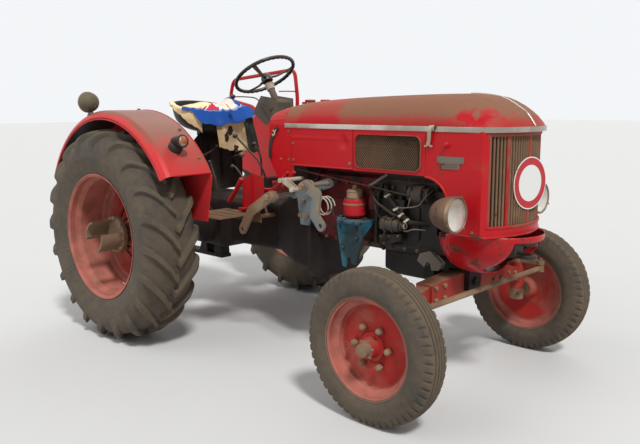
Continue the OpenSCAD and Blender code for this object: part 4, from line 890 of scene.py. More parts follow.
class TRACTOR_OT_front_tyres(Dresser, bpy.types.Operator):
    """Makes the ribbed front tyres with their notched shoulders"""

    bl_idname = "tractor.front_tyres"
    bl_label = "Front tyres"

    # y, radius under the tread's top, share of a notch's depth
    PROFILE = [
        (0.0, 0.0, 0), (0.0055, 0.0003, 0), (0.0085, 0.0085, 0), (0.0125, 0.0085, 0), (0.0155, 0.0008, 0),
        (0.0275, 0.0015, 0), (0.0305, 0.0095, 0), (0.0345, 0.0095, 0), (0.0375, 0.003, 0),
        (0.046, 0.0045, 0.2), (0.053, 0.006, 1), (0.0595, 0.0095, 1), (0.0655, 0.017, 1),
        (0.0705, 0.029, 0.8), (0.075, 0.042, 0.1),
        (0.0785, 0.056, 0), (0.0818, 0.075, 0), (0.0825, 0.088, 0), (0.081, 0.1, 0), (0.077, 0.112, 0),
        (0.073, 0.119, 0), (0.0708, 0.1225, 0), (0.069, 0.128, 0), (0.0665, 0.138, 0), (0.0555, 0.142, 0),
    ]

    def tread(self, side, notches):
        """A profile turned about the axle, cut by m times the notch's depth, where m is a smooth
        pulse that comes once in each of the notches' spacings and leans over the shoulder."""
        half = curve(self.PROFILE, 3)
        rows = np.vstack([half[:0:-1] * (-1, 1, 1), half])
        turn = np.arange(notches * 8) / 8.0
        y, under, deep = rows.T[:, :, None]
        lean = turn[None] + 6 * np.abs(y) + 0.5 * (y > 0)
        pulse = np.clip(1.6 * np.cos(2 * math.pi * lean) - 0.55, 0, 1)
        a = np.radians(turn * 360 / notches)[None]
        radius = FRONT_R - under - 0.009 * deep * pulse
        radius = radius + 0.0007 * np.sin(11 * a + 60 * y) * (under < 0.12)
        out = y * (1 - 0.05 * deep * pulse)
        points = np.stack([radius * np.sin(a), out + 0 * a, radius * np.cos(a)], -1)
        return moved(surface(points, True, True), (WHEELBASE, side * -FRONT_Y, FRONT_R))

    def execute(self, context):
        for side, word in ((1, "right"), (-1, "left")):
            make(f"ribbed_tyre_{word}", "front rubber", self.tread(side, self.sizes(context).notches),
                sharp=50, body=f"front_wheel_{word}", replaces=f"front_tyre_{word}", slot="tyre_rubber")
        return {"FINISHED"}


class TRACTOR_OT_wheel_fittings(Dresser, bpy.types.Operator):
    """Adds nuts, caps, valves, flange bolts, pressed rings and rim edges to the wheels"""

    bl_idname = "tractor.wheel_fittings"
    bl_label = "Wheel fittings"

    def execute(self, context):
        rear, front = {"body": "rear_wheel"}, {"body": "front_wheel"}

        def rear_at(inwards):
            return 0, -REAR_Y + inwards, REAR_R

        def front_at(inwards):
            return WHEELBASE, -FRONT_Y + inwards, FRONT_R

        # the studs and nuts stand on the coupling flange's inner face
        faces = ring_of(rear_at(0.015), 0.098, 10, 12)
        studs = [turned([(0.0075, 0.0), (0.0075, 0.034), (0.005, 0.037)], face, n=8) for face in faces]
        pair("coupling_nuts", "tan steel", heads(faces, (0, 1, 0), 0.03, 0.024), *studs, **rear)
        pair("flange_bolts", "tan steel", heads(ring_of(rear_at(-0.04), 0.108, 8, 5), (0, -1, 0), 0.022,
            0.009), **rear)
        # raised ring pressed into the wheel disc
        ring = [(0.2, 0.0), (0.212, -0.012), (0.232, -0.012), (0.244, 0.0), (0.232, 0.02), (0.212, 0.02)]
        pair("disc_pressing", "rear rim paint", turned(ring, rear_at(0.122), closed=True, n=72), **rear)
        stem = [(0.2, -0.06, -0.302), (0.195, -0.085, -0.297), (0.187, -0.105, -0.283)]
        pair("rear_valve", "pale metal", tube(np.array(rear_at(0)) + stem, 0.009, (1, 0, 0), 3, 8), **rear)
        dome = turned([(0.001, -0.016), (0.01, -0.0145), (0.0145, -0.01), (0.0165, -0.004),
            (0.0165, 0.012)], n=16)
        caps = [moved(dome, place) for place in ring_of(front_at(-0.024), 0.103, 6, 30)]
        pair("front_nut_caps", "tan steel", *caps, **front)
        line = [(0.078, 0.0), (0.0795, -0.0035), (0.082, -0.0035), (0.0835, 0.0), (0.081, 0.002)]
        pair("disc_line", "front rim paint", turned(line, front_at(-0.0025), closed=True, n=56), **front)
        edge = [(0.249, 0.0), (0.2525, 0.0025), (0.2565, 0.0), (0.2525, -0.0025)]
        edges = [turned(edge, front_at(side * 0.0665), closed=True, n=72) for side in (-1, 1)]
        pair("rim_edges", "faded rim", *edges, **front)
        pair("hub_bolts", "tan steel", heads(ring_of(front_at(-0.06), 0.043, 6, 20), (0, -1, 0), 0.013,
            0.007), **front)
        return {"FINISHED"}


class TRACTOR_OT_bonnet(Dresser, bpy.types.Operator):
    """Makes the bonnet's skin, its trim line and the bright strip below it"""

    bl_idname = "tractor.bonnet"
    bl_label = "Bonnet and strip"

    # share of the length, crest over the strip, share of the half width, share of the way to a pointed arch
    LID = [
        (0, 0.128, 1, 0), (0.157, 0.148, 1, 0), (0.331, 0.161, 1, 0), (0.572, 0.171, 1, 0),
        (0.732, 0.173, 1, 0), (0.8, 0.17, 1, 0.2), (0.853, 0.16, 0.995, 0.41), (0.886, 0.144, 0.988, 0.55),
        (0.913, 0.124, 0.979, 0.65), (0.933, 0.106, 0.924, 0.73), (0.953, 0.087, 0.814, 0.81),
        (0.97, 0.067, 0.676, 0.88), (0.985, 0.039, 0.493, 0.94), (0.995, 0.018, 0.293, 0.98),
        (0.9995, 0.008, 0.1, 1),
    ]
    REAR = 1.005
    NOSE = 2.5
    HALF = 0.29
    STRIP_Z = 1.41

    def arch(self, rows, inset, steps=72):
        """Each section is a flattened arch: y = w c^p and z = h s^q for the half turn's cosine c and
        sine s, where the powers grow towards the brow, with a low ridge each side of the crest."""
        share, crest, width, point = rows.T[:, :, None]
        a = np.linspace(0, math.pi, steps + 1)[None]
        c, s = np.cos(a), np.clip(np.sin(a), 0, 1)
        y = np.maximum(self.HALF * width - inset, 0.01) * np.sign(c) * np.abs(c) ** (0.72 + 0.38 * point)
        z = self.STRIP_Z + np.maximum(crest - inset, 0.006) * s ** (0.8 + point)
        line = 0.105 + 0.16 * np.clip(share - 0.8, 0, 1)
        z = z + 0.0035 * np.exp(-(((np.abs(y) - line) / 0.009) ** 2)) * (share < 0.97)
        return np.stack([self.REAR + share * (self.NOSE - self.REAR) + 0 * a, y, z], -1)

    def execute(self, context):
        rows = curve(self.LID, 6)
        rings = np.concatenate([self.arch(rows, 0.0), self.arch(rows, 0.004)[:, ::-1]], 1)
        barrels = [turned([(0.0085, -0.025), (0.0085, 0.025)], (1.005, s * 0.07, 1.552), n=16)
            for s in (-1, 1)]
        leaves = [block((1.007, s * 0.07 - 0.025, 1.536), (1.041, s * 0.07 + 0.025, 1.545)) for s in (-1, 1)]
        make("bonnet_skin", "bonnet paint", capped(rings), *barrels, *leaves, body="bonnet",
            replaces="bonnet_lid", sharp=50, slot="dusty_bonnet")
        # centre trim over the nose, on the crest line
        crest = rows[rows[:, 0] > 0.745]
        path = np.stack([self.REAR + crest[:, 0] * (self.NOSE - self.REAR), 0 * crest[:, 0],
            self.STRIP_Z + crest[:, 1] + 0.0008], -1)
        oval = circle(1.0, 10) * (0.0045, 0.007)
        make("nose_trim", "bright trim", capped(along(path[:-1], oval)), body="bonnet", slot="bright_trim")
        width = curve(self.LID, 5)
        x, y = self.REAR + width[:, 0] * (self.NOSE - self.REAR), self.HALF * width[:, 2] + 0.002
        plan = np.concatenate([np.stack([x, -y], -1), np.stack([x, y], -1)[::-1]])
        plan = np.column_stack([plan, np.full(len(plan), self.STRIP_Z - 0.005)])
        height = self.sizes(context).strip_height / 2
        a = np.linspace(0, 2 * math.pi, 14, endpoint=False)
        face = np.stack([0.0105 * np.clip(np.cos(a), -0.25, 1), height * np.sin(a)], -1)
        strip = capped(along(plan, face, (0, 0, 1)))
        make("bright_strip", "bright trim", strip, replaces="side_strip", sharp=60, slot="bright_trim")
        return {"FINISHED"}


class TRACTOR_OT_panels(Dresser, bpy.types.Operator):
    """Makes the side panels with their mesh, lips, flanges and rolled lower edges, and a near-black
    painted-shade block in their seam
    """

    bl_idname = "tractor.panels"
    bl_label = "Side panels"

    LEFT, SEAM, RIGHT = 1.056, 1.553, 2.043
    LOW, HIGH = 1.17, 1.3957
    OPENING = (1.567, 1.18, 2.016, 1.366, 0.04)
    FACE = 0.29

    def pressed(self, outline, hole, thick=0.0035):
        """A flat ring between two outlines of equally many points, with both faces and both edges."""
        outer, inner = np.array(outline), np.array(hole)
        loops = [(outer, -self.FACE), (inner, -self.FACE), (inner, -self.FACE + thick),
            (outer, -self.FACE + thick)]
        rings = np.stack([np.stack([loop[:, 0], np.full(len(loop), y), loop[:, 1]], -1) for loop, y in loops])
        return surface(rings, True, True)

    def diamonds(self, pitch):
        """Zigzag strands: x runs on evenly and z goes up and down by half a diamond; every second strand is
        turned over, so that they touch at the corners."""
        x0, z0, x1, z1, r = self.OPENING
        rise = pitch * 0.62
        wire = np.array([(-1, -1), (1, -1), (1, 1), (-1, 1)]) * (0.0009, 0.0012)
        strands = []
        for k in range(int((z1 - z0) / rise) + 1):
            z = z0 + (k + 0.5) * rise
            cut = max(r - (z - z0), r - (z1 - z), 0.0)
            short = r - math.sqrt(max(r * r - cut * cut, 0.0))
            n = int((x1 - x0 - 2 * short + 0.006) / (pitch / 2))
            x = (x0 + x1) / 2 + (np.arange(n) - (n - 1) / 2) * pitch / 2
            step = np.round((x - x0) / (pitch / 2)).astype(int) + k
            x = x0 + np.round((x - x0) / (pitch / 2)) * pitch / 2
            path = np.stack([x, np.full(n, -self.FACE + 0.0065), z + rise / 2 * (1 - 2 * (step % 2))], -1)
            strands.append(capped(along(path, wire)))
        return strands

    def execute(self, context):
        n = 10
        x0, z0, x1, z1, r = self.OPENING
        hole = rounded(x0, z0, x1, z1, r, n)
        frame_x = np.clip(np.where(hole[:, 0] > (x0 + x1) / 2, self.RIGHT, self.SEAM), self.SEAM, self.RIGHT)
        frame_z = np.where(hole[:, 1] > (z0 + z1) / 2, self.HIGH, self.LOW)
        outline = np.stack([frame_x, frame_z], -1)
        edge = (hole[:, 0] > x0 + r) & (hole[:, 0] < x1 - r)
        outline[edge, 0] = hole[edge, 0]
        # each quarter turn of the hole belongs to a corner of the frame and runs along its two edges
        for k in range(4):
            part = slice(k * n, (k + 1) * n)
            t = np.linspace(-1, 1, n)
            cx, cz = outline[part, 0][n // 2], outline[part, 1][n // 2]
            dx, dz = (cx - hole[part, 0][[0, -1]]), (cz - hole[part, 1][[0, -1]])
            first_upright = k % 2 == 0
            run = np.clip(-t, 0, 1) if first_upright else np.clip(t, 0, 1)
            level = np.clip(t, 0, 1) if first_upright else np.clip(-t, 0, 1)
            outline[part, 1] = cz - run * (dz[0] if first_upright else dz[1])
            outline[part, 0] = cx - level * (dx[1] if first_upright else dx[0])
        lip = np.stack([hole[:, 0], np.full(len(hole), -self.FACE - 0.002), hole[:, 1]], -1)
        way = lip - ((x0 + x1) / 2, -self.FACE - 0.002, (z0 + z1) / 2)
        way /= np.linalg.norm(way, axis=1)[:, None]
        turn = circle(0.0055, 8)[None]
        lip = lip[:, None] + turn[..., :1] * way[:, None] + turn[..., 1:] * np.array([0, 1.0, 0])
        flange = block((self.SEAM, -self.FACE - 0.001, self.LOW - 0.007),
            (self.RIGHT, -self.FACE + 0.018, self.LOW + 0.009))
        seam, inside = self.SEAM - 0.004, -self.FACE + 0.004
        roll = tube([(self.LEFT, inside, self.LOW), (seam, inside, self.LOW)], 0.012, steps=1)
        # painted shade: a near-black block behind the seam between the panels stands for the shade inside it
        gap = block((seam, inside, self.LOW), (self.SEAM + 0.001, -self.FACE + 0.012, self.HIGH))
        pair("panel", "red paint", self.pressed(outline, hole), flange, roll, replaces="side_panel",
            slot="red_paint")
        pair("rear_panel", "red paint", self.dented(seam), closed=False, slot="red_paint")
        pair("panel_lip", "grille bar", surface(lip, True, True))
        pair("panel_mesh", "tan steel", *self.diamonds(self.sizes(context).mesh_pitch), closed=False)
        pair("panel_gap", "gap", gap)
        return {"FINISHED"}

    def dented(self, seam):
        """The plain rear panel as a grid pushed in by an oval dent: y = FACE - d e^(-q),
        where q grows with the distance from the dent's middle."""
        along_x, along_z = np.linspace(self.LEFT, seam, 60), np.linspace(self.LOW, self.HIGH, 30)
        x, z = np.meshgrid(along_x, along_z, indexing="ij")
        q = ((x - 1.478) / 0.028) ** 2 + ((z - 1.318) / 0.036) ** 2
        dent = 0.0075 * np.exp(-(q**2)) - 0.002 * np.exp(-(((z - 1.335) / 0.006) ** 2))
        front = np.stack([x, -self.FACE + dent, z], -1)
        return surface(np.concatenate([front, front[::-1] + (0, 0.0035, 0)]), True)


class TRACTOR_OT_nose(Dresser, bpy.types.Operator):
    """Makes the grille's slats and bars, the lips, the plates, the button and the latch"""

    bl_idname = "tractor.nose"
    bl_label = "Nose and grille"

    BOW_X, BOW_R = 2.016, 0.462
    LOW, HIGH = 0.925, 1.38

    def bow(self, y, inset):
        """X of the nose's curve at y: the edge of a circle about (BOW_X, 0)."""
        return self.BOW_X + math.sqrt((self.BOW_R - inset) ** 2 - y * y)

    def slat(self, y, half, inset, depth):
        """An upright rounded bar square to the nose's curve."""
        a = math.atan2(y, self.bow(y, inset) - self.BOW_X)
        out, across = np.array([math.cos(a), math.sin(a), 0]), np.array([-math.sin(a), math.cos(a), 0])
        t = np.linspace(-math.pi / 2, math.pi / 2, 9)
        face = np.stack([depth * np.cos(t) ** 0.8, half * np.sin(t)], -1)
        face = np.vstack([face, [(-0.004, half), (-0.004, -half)]])
        base = np.array([self.bow(y, inset), y, 0]) - depth * out
        ring = base + face[:, :1] * out + face[:, 1:] * across
        return capped(np.stack([ring + (0, 0, self.LOW - 0.006), ring + (0, 0, self.HIGH + 0.006)]))

    def rail(self, z, inset):
        """A bar that follows the nose's bow at one height."""
        y = np.linspace(-0.266, 0.266, 40)
        x = self.BOW_X + np.sqrt((self.BOW_R - inset) ** 2 - y**2)
        return capped(along(np.stack([x, y, 0 * y + z], -1), circle(1.0, 8) * (0.006, 0.008), (0, 0, 1)))

    def execute(self, context):
        bars = (-0.16, 0.0, 0.16)
        slats = []
        for y in np.linspace(-0.25, 0.25, 29):
            if min(abs(y - b) for b in bars) > 0.012:
                slats.append(self.slat(y, 0.0062, 0.006, 0.007))
        back = [self.slat(y, 0.03, 0.021, 0.002) for y in np.linspace(-0.235, 0.235, 9)]
        make("grille_slats", "grille slats", *slats, replaces="grille", slot="dusty_steel")
        make("grille_shadow", "gap", *back)
        make("grille_bars", "grille bar", *[self.slat(y, 0.0105, 0.0022, 0.008) for y in bars],
            *[self.slat(s * 0.2565, 0.008, 0.001, 0.005) for s in (-1, 1)])
        # rails above and below, and the rolled lips of the cheeks' arches
        make("grille_rails", "grille bar", self.rail(self.LOW + 0.001, 0.001), self.rail(self.HIGH, 0.004))
        a = np.radians(np.linspace(88, 0, 14))
        arch = [(2.04 + 0.15 * math.cos(t), -0.2915, 1.01 + 0.15 * math.sin(t)) for t in a]
        arch += [(2.19, -0.2915, 0.95), (2.19, -0.2915, 0.885)]
        make("cheek_lips", "red paint", *both(tube(arch, 0.013, steps=2)))
        half = [(2.19, -0.285), (2.3, -0.287), (2.378, -0.284), (2.41, -0.24), (2.44, -0.18), (2.463, -0.1)]
        low = [*half, (2.475, 0), *[(x, -y) for x, y in half[::-1]]]
        make("lower_lip", "chin paint", tube([(x, y, 0.879) for x, y in low], 0.012, (0, 0, 1), 4))
        plates = [block((2.118, -0.2935, 1.238), (2.274, -0.2895, 1.269)),
            block((2.147, -0.2935, 1.209), (2.248, -0.2895, 1.2365))]
        make("data_plates", "plate metal", *plates, bevel=0.0012)
        frames = [plate(rounded(2.155, 1.2125, 2.24, 1.2215, 0.002), -0.2942, -0.293),
            plate(rounded(2.155, 1.2245, 2.24, 1.2335, 0.002), -0.2942, -0.293)]
        rivets = heads([(x, -0.2935, z) for x in (2.124, 2.268) for z in (1.243, 1.264)], (0, -1, 0),
            0.006, 0.002, 8)
        make("plate_fields", "dash grey", *frames, rivets)
        button = turned([(0.001, -0.021), (0.009, -0.019), (0.0125, -0.013), (0.0125, -0.006),
            (0.017, -0.004), (0.017, 0.001)], (2.173, -0.2895, 1.327), n=24)
        make("red_button", "red paint", button)
        # latch: a bright hook over the strip, a strap and its flared foot
        strap_path = [(2.088, -0.303, 1.422), (2.086, -0.314, 1.412), (2.08, -0.313, 1.39),
            (2.073, -0.304, 1.35), (2.066, -0.302, 1.325)]
        foot = [tube([(2.066, -0.3, 1.328), (2.052, -0.3, 1.316), (2.044, -0.298, 1.318)], 0.009),
            tube([(2.066, -0.3, 1.33), (2.083, -0.3, 1.317), (2.09, -0.298, 1.322)], 0.009),
            heads([(2.066, -0.298, 1.328)], (0, -1, 0), 0.017, 0.009)]
        hook = [strap(strap_path, 0.019, 0.005, (1, 0, 0)), strap([(2.1, -0.304, 1.424),
            (2.098, -0.311, 1.415), (2.096, -0.306, 1.4)], 0.012, 0.004, (1, 0, 0)), *foot]
        make("latches", "pale metal", *both(*hook), bevel=0.0008)
        stays = heads([(x, s * 0.2905, z) for s in (-1, 1) for x,
            z in ((1.075, 1.3), (1.075, 1.2), (1.53, 1.2), (2.235, 0.9), (2.33, 0.9))], (0, -1, 0),
            0.016, 0.005)
        make("panel_bolts", "tan steel", stays)
        return {"FINISHED"}


class TRACTOR_OT_chin(Dresser, bpy.types.Operator):
    """Makes the rounded chin apron with its notch"""

    bl_idname = "tractor.chin"
    bl_label = "Chin apron"

    X, REACH, HALF, DEPTH, LIP = 2.208, 0.34, 0.272, 0.238, 0.8747
    NOTCH_Y, NOTCH_Z = 0.15, 0.84

    def sheet(self, inset):
        """A quarter ball: x = X + R cos a cos t, y = W sin a cos t, z = LIP - D sin t;
        the middle columns are moved so that two of them run down the notch's sides."""
        t = np.radians(np.linspace(0, 84, 34))[:, None]
        side = np.arcsin(np.clip(self.NOTCH_Y / (self.HALF * np.cos(t)), 0, 0.98))
        u = np.linspace(-1, 1, 49)[None]
        split = 0.5
        beyond = np.sign(u) * (side + (np.abs(u) - split) / (1 - split) * (math.radians(105) - side))
        a = np.where(np.abs(u) <= split, u / split * side, beyond)
        reach, half, depth = self.REACH - inset, self.HALF - inset, self.DEPTH - inset
        x = self.X + reach * np.cos(a) * np.cos(t)
        y = half * np.sin(a) * np.cos(t)
        z = self.LIP - depth * np.sin(t) + 0 * a
        return np.stack([x, y, z], -1)

    def execute(self, context):
        outer = self.sheet(0.0)
        points, (faces,) = surface(outer)
        centre = points[faces].mean(1)
        near, low = np.abs(centre[:, 1]) < self.NOTCH_Y, centre[:, 2] < self.NOTCH_Z
        cut = near & low & (centre[:, 0] > self.X + 0.1)
        piece = make("chin_bowl", "chin paint", (points, [faces[~cut]]), replaces="chin_apron",
            closed=False, sharp=70, slot="red_paint")
        wall(piece, 0.004, -1.0)
        return {"FINISHED"}


class TRACTOR_OT_steering(Dresser, bpy.types.Operator):
    """Makes the steering wheel, its column, the dash housing and the hand throttle"""

    bl_idname = "tractor.steering"
    bl_label = "Steering"

    HUB = (0.537, 0.0, 1.681)
    LEAN = -32

    def rim(self):
        """A ring of radius R + g cos t and height h + g sin t, whose grip g swells under the fingers."""
        a = np.linspace(0, 2 * math.pi, 180, endpoint=False)[:, None]
        t = np.linspace(0, 2 * math.pi, 14, endpoint=False)[None]
        grip = 0.0125 + 0.0012 * np.clip(0.4 - np.sin(t), 0, 1) * np.cos(36 * a)
        r = 0.207 + grip * np.cos(t)
        return surface(np.stack([r * np.cos(a), r * np.sin(a), 0.058 + grip * np.sin(t)], -1), True, True)

    def spoke(self, degrees):
        """An oval bar that dips from the hub and widens towards the rim."""
        path = curve([(0.026, 0, 0.03), (0.08, 0, 0.027), (0.15, 0, 0.042), (0.203, 0, 0.057)], 6)
        half = np.interp(path[:, 0], (0.026, 0.1, 0.2), (0.013, 0.0115, 0.0165))
        section = circle(1.0, 12)[None] * np.stack([0 * half + 0.0055, half], -1)[:, None]
        points, faces = capped(along(path, section, (0, 1, 0)))
        a = math.radians(degrees)
        x, y, z = points.T
        return np.stack([x * math.cos(a) - y * math.sin(a), x * math.sin(a) + y * math.cos(a), z], -1), faces

    def lean(self, *shapes):
        """Closed shapes set on the column's slanted axis."""
        return leaned(solid(*shapes), self.LEAN, self.HUB)

    def execute(self, context):
        hub = turned([(0.001, 0.064), (0.014, 0.063), (0.026, 0.056), (0.034, 0.042), (0.038, 0.03),
            (0.038, 0.004), (0.012, 0.0), (0.011, -0.07), (0.001, -0.07)], axis="z", n=40)
        make("steering_rim", "black grip", self.lean(self.rim()), body="steering_wheel",
            replaces="steering_wheel", sharp=60, slot="black_plastic")
        make("wheel_spokes", "dash grey", self.lean(*[self.spoke(a) for a in (60, 180, 300)]),
            body="steering_wheel")
        make("wheel_hub", "black grip", self.lean(hub), body="steering_wheel")
        column = turned([(0.0225, -0.03), (0.0225, -0.67)], axis="z", n=32)
        collar = turned([(0.0225, -0.014), (0.031, -0.016), (0.032, -0.022), (0.032, -0.038),
            (0.028, -0.046), (0.0285, -0.06), (0.0225, -0.062)], axis="z", n=32, closed=True)
        make("column_tube", "dash grey", self.lean(column), sharp=50)
        make("column_collar", "pale metal", self.lean(collar))
        box = plate([(0.492, 1.478), (0.562, 1.574), (0.694, 1.558), (0.7, 1.458), (0.604, 1.408)],
            -0.084, 0.07)
        make("dash_housing", "dash grey", box, replaces="steering_column", bevel=0.014, slot="dusty_steel")
        gear = plate([(0.852, 0.94), (0.95, 1.0037), (0.958, 1.108), (0.929, 1.157), (0.852, 1.128)],
            -0.058, 0.058)
        make("steering_gear", "casting paint", gear, bevel=0.012)
        # two gauges on the face towards the driver, and the rods on the housing's side
        gauges, dials = [], []
        for y in (-0.042, 0.03):
            spot = (0.527, y, 1.526)
            gauges.append(leaned(turned([(0.027, 0.0), (0.031, 0.004), (0.031, 0.009), (0.0275, 0.01),
                (0.026, 0.006)], axis="z", n=32, closed=True), -53.9, spot))
            dials.append(leaned(turned([(0.001, 0.005), (0.027, 0.005), (0.027, 0.001), (0.001, 0.001)],
                axis="z", n=32), -53.9, spot))
        make("gauge_rims", "bright trim", *gauges)
        make("gauge_dials", "pale metal", *dials)
        lever = tube([(0.244, -0.06, 1.586), (0.36, -0.06, 1.584), (0.47, -0.062, 1.575),
            (0.54, -0.07, 1.545)], 0.008)
        rod = tube([(0.57, -0.092, 1.538), (0.64, -0.094, 1.478), (0.725, -0.1, 1.408), (0.8, -0.11, 1.34),
            (0.862, -0.12, 1.29)], 0.0065)
        make("throttle_rods", "grey iron", lever, rod, heads([(0.575, -0.084, 1.536), (0.66, -0.084, 1.5)],
            (0, -1, 0), 0.018, 0.008))
        make("throttle_knob", "black grip", ball((0.235, -0.06, 1.587), 0.0185))
        return {"FINISHED"}


class TRACTOR_OT_controls(Dresser, bpy.types.Operator):
    """Makes the levers with their knobs, the pedal pads and what is fixed to the cowl and the toe boards"""

    bl_idname = "tractor.controls"
    bl_label = "Levers and cowl fittings"

    def execute(self, context):
        paths = ([(0.62, -0.06, 0.895), (0.597, -0.085, 1.03), (0.56, -0.11, 1.14), (0.5, -0.11, 1.19),
            (0.31, -0.11, 1.318)], [(0.42, 0.04, 0.895), (0.4, 0.05, 1.03), (0.378, 0.06, 1.17),
            (0.3, 0.07, 1.25)], [(0.47, -0.16, 0.9), (0.45, -0.16, 1.02), (0.38, -0.165, 1.1),
            (0.34, -0.165, 1.11)])
        rods = [tube(path, 0.014) for path in paths]
        boots = [turned([(0.001, 0.03), (0.01, 0.03), (0.012, 0.02), (0.019, 0.008), (0.022, 0.0),
            (0.001, 0.0)], (p[0][0], p[0][1], 0.8803), "z", 24) for p in paths]
        knobs = [ball(path[-1], r) for path, r in zip(paths, (0.0195, 0.0185, 0.015))]
        make("lever_rods", "grey iron", *rods, replaces="hand_levers", slot="dusty_steel")
        make("lever_knobs", "black grip", *knobs)
        make("lever_boots", "black grip", *boots)
        pads = [block((0.572, y - 0.029, 1.0165), (0.634, y + 0.029, 1.0195)) for y in (-0.258, -0.19, 0.25)]
        ribs = [block((0.576 + 0.0115 * k, y - 0.027, 1.019), (0.581 + 0.0115 * k, y + 0.027, 1.0225))
            for y in (-0.258, -0.19, 0.25) for k in range(5)]
        make("pedal_pads", "black grip", *pads, *ribs)
        strap_bar = strap([(0.945, -0.2935, 1.392), (0.905, -0.294, 1.352), (0.876, -0.294, 1.29),
            (0.87, -0.294, 1.2)], 0.005, 0.026, (0, 1, 0))
        make("cowl_strap", "black steel", strap_bar)
        clip = [tube([(0.905, -0.298, 1.372), (0.921, -0.302, 1.365), (0.924, -0.304, 1.35),
            (0.912, -0.304, 1.342), (0.9, -0.302, 1.35)], 0.0065),
            tube([(0.9, -0.298, 1.336), (0.93, -0.3, 1.376)], 0.007, steps=2)]
        make("cowl_clip", "pale metal", *clip)
        rivets = heads([(x, s * 0.2903, z) for s in (-1, 1) for x,
            z in ((0.955, 1.07), (1.03, 1.075), (0.965, 1.2), (1.035, 1.37), (0.9, 1.37), (1.035, 1.2))],
            (0, -1, 0), 0.013, 0.004, 8)
        make("cowl_rivets", "tan steel", rivets)
        channel = []
        for s in (-1, 1):
            channel += [block((0.664, s * 0.337 - 0.012, 0.842), (0.671, s * 0.337 + 0.012, 1.055)),
                block((0.755, s * 0.337 - 0.012, 0.842), (0.762, s * 0.337 + 0.012, 1.09)),
                block((0.64, s * 0.337 - 0.014, 0.838), (0.76, s * 0.337 + 0.014, 0.846))]
        make("toe_channels", "red paint", *channel, bevel=0.002)
        seams = [strap([(0.425, s * y, 0.8405), (0.6, s * y, 0.8415), (0.745, s * y, 0.8405)], 0.012, 0.003)
            for s in (-1, 1) for y in (0.36, 0.44, 0.52, 0.6)]
        make("floor_ribs", "floor plate", *seams)
        links = [tube([(0.76, -0.3, 1.0), (0.88, -0.3, 1.004), (0.96, -0.302, 1.05), (1.035, -0.3, 1.123)],
            0.022), tube([(0.98, -0.296, 1.03), (1.04, -0.296, 1.085), (1.085, -0.296, 1.128)], 0.026),
            tube([(0.62, -0.345, 0.862), (0.7, -0.35, 0.87), (0.76, -0.35, 0.9)], 0.02),
            tube([(0.52, -0.345, 0.9), (0.6, -0.348, 0.99), (0.65, -0.348, 1.06)], 0.03)]
        make("red_links", "red paint", *links)
        return {"FINISHED"}


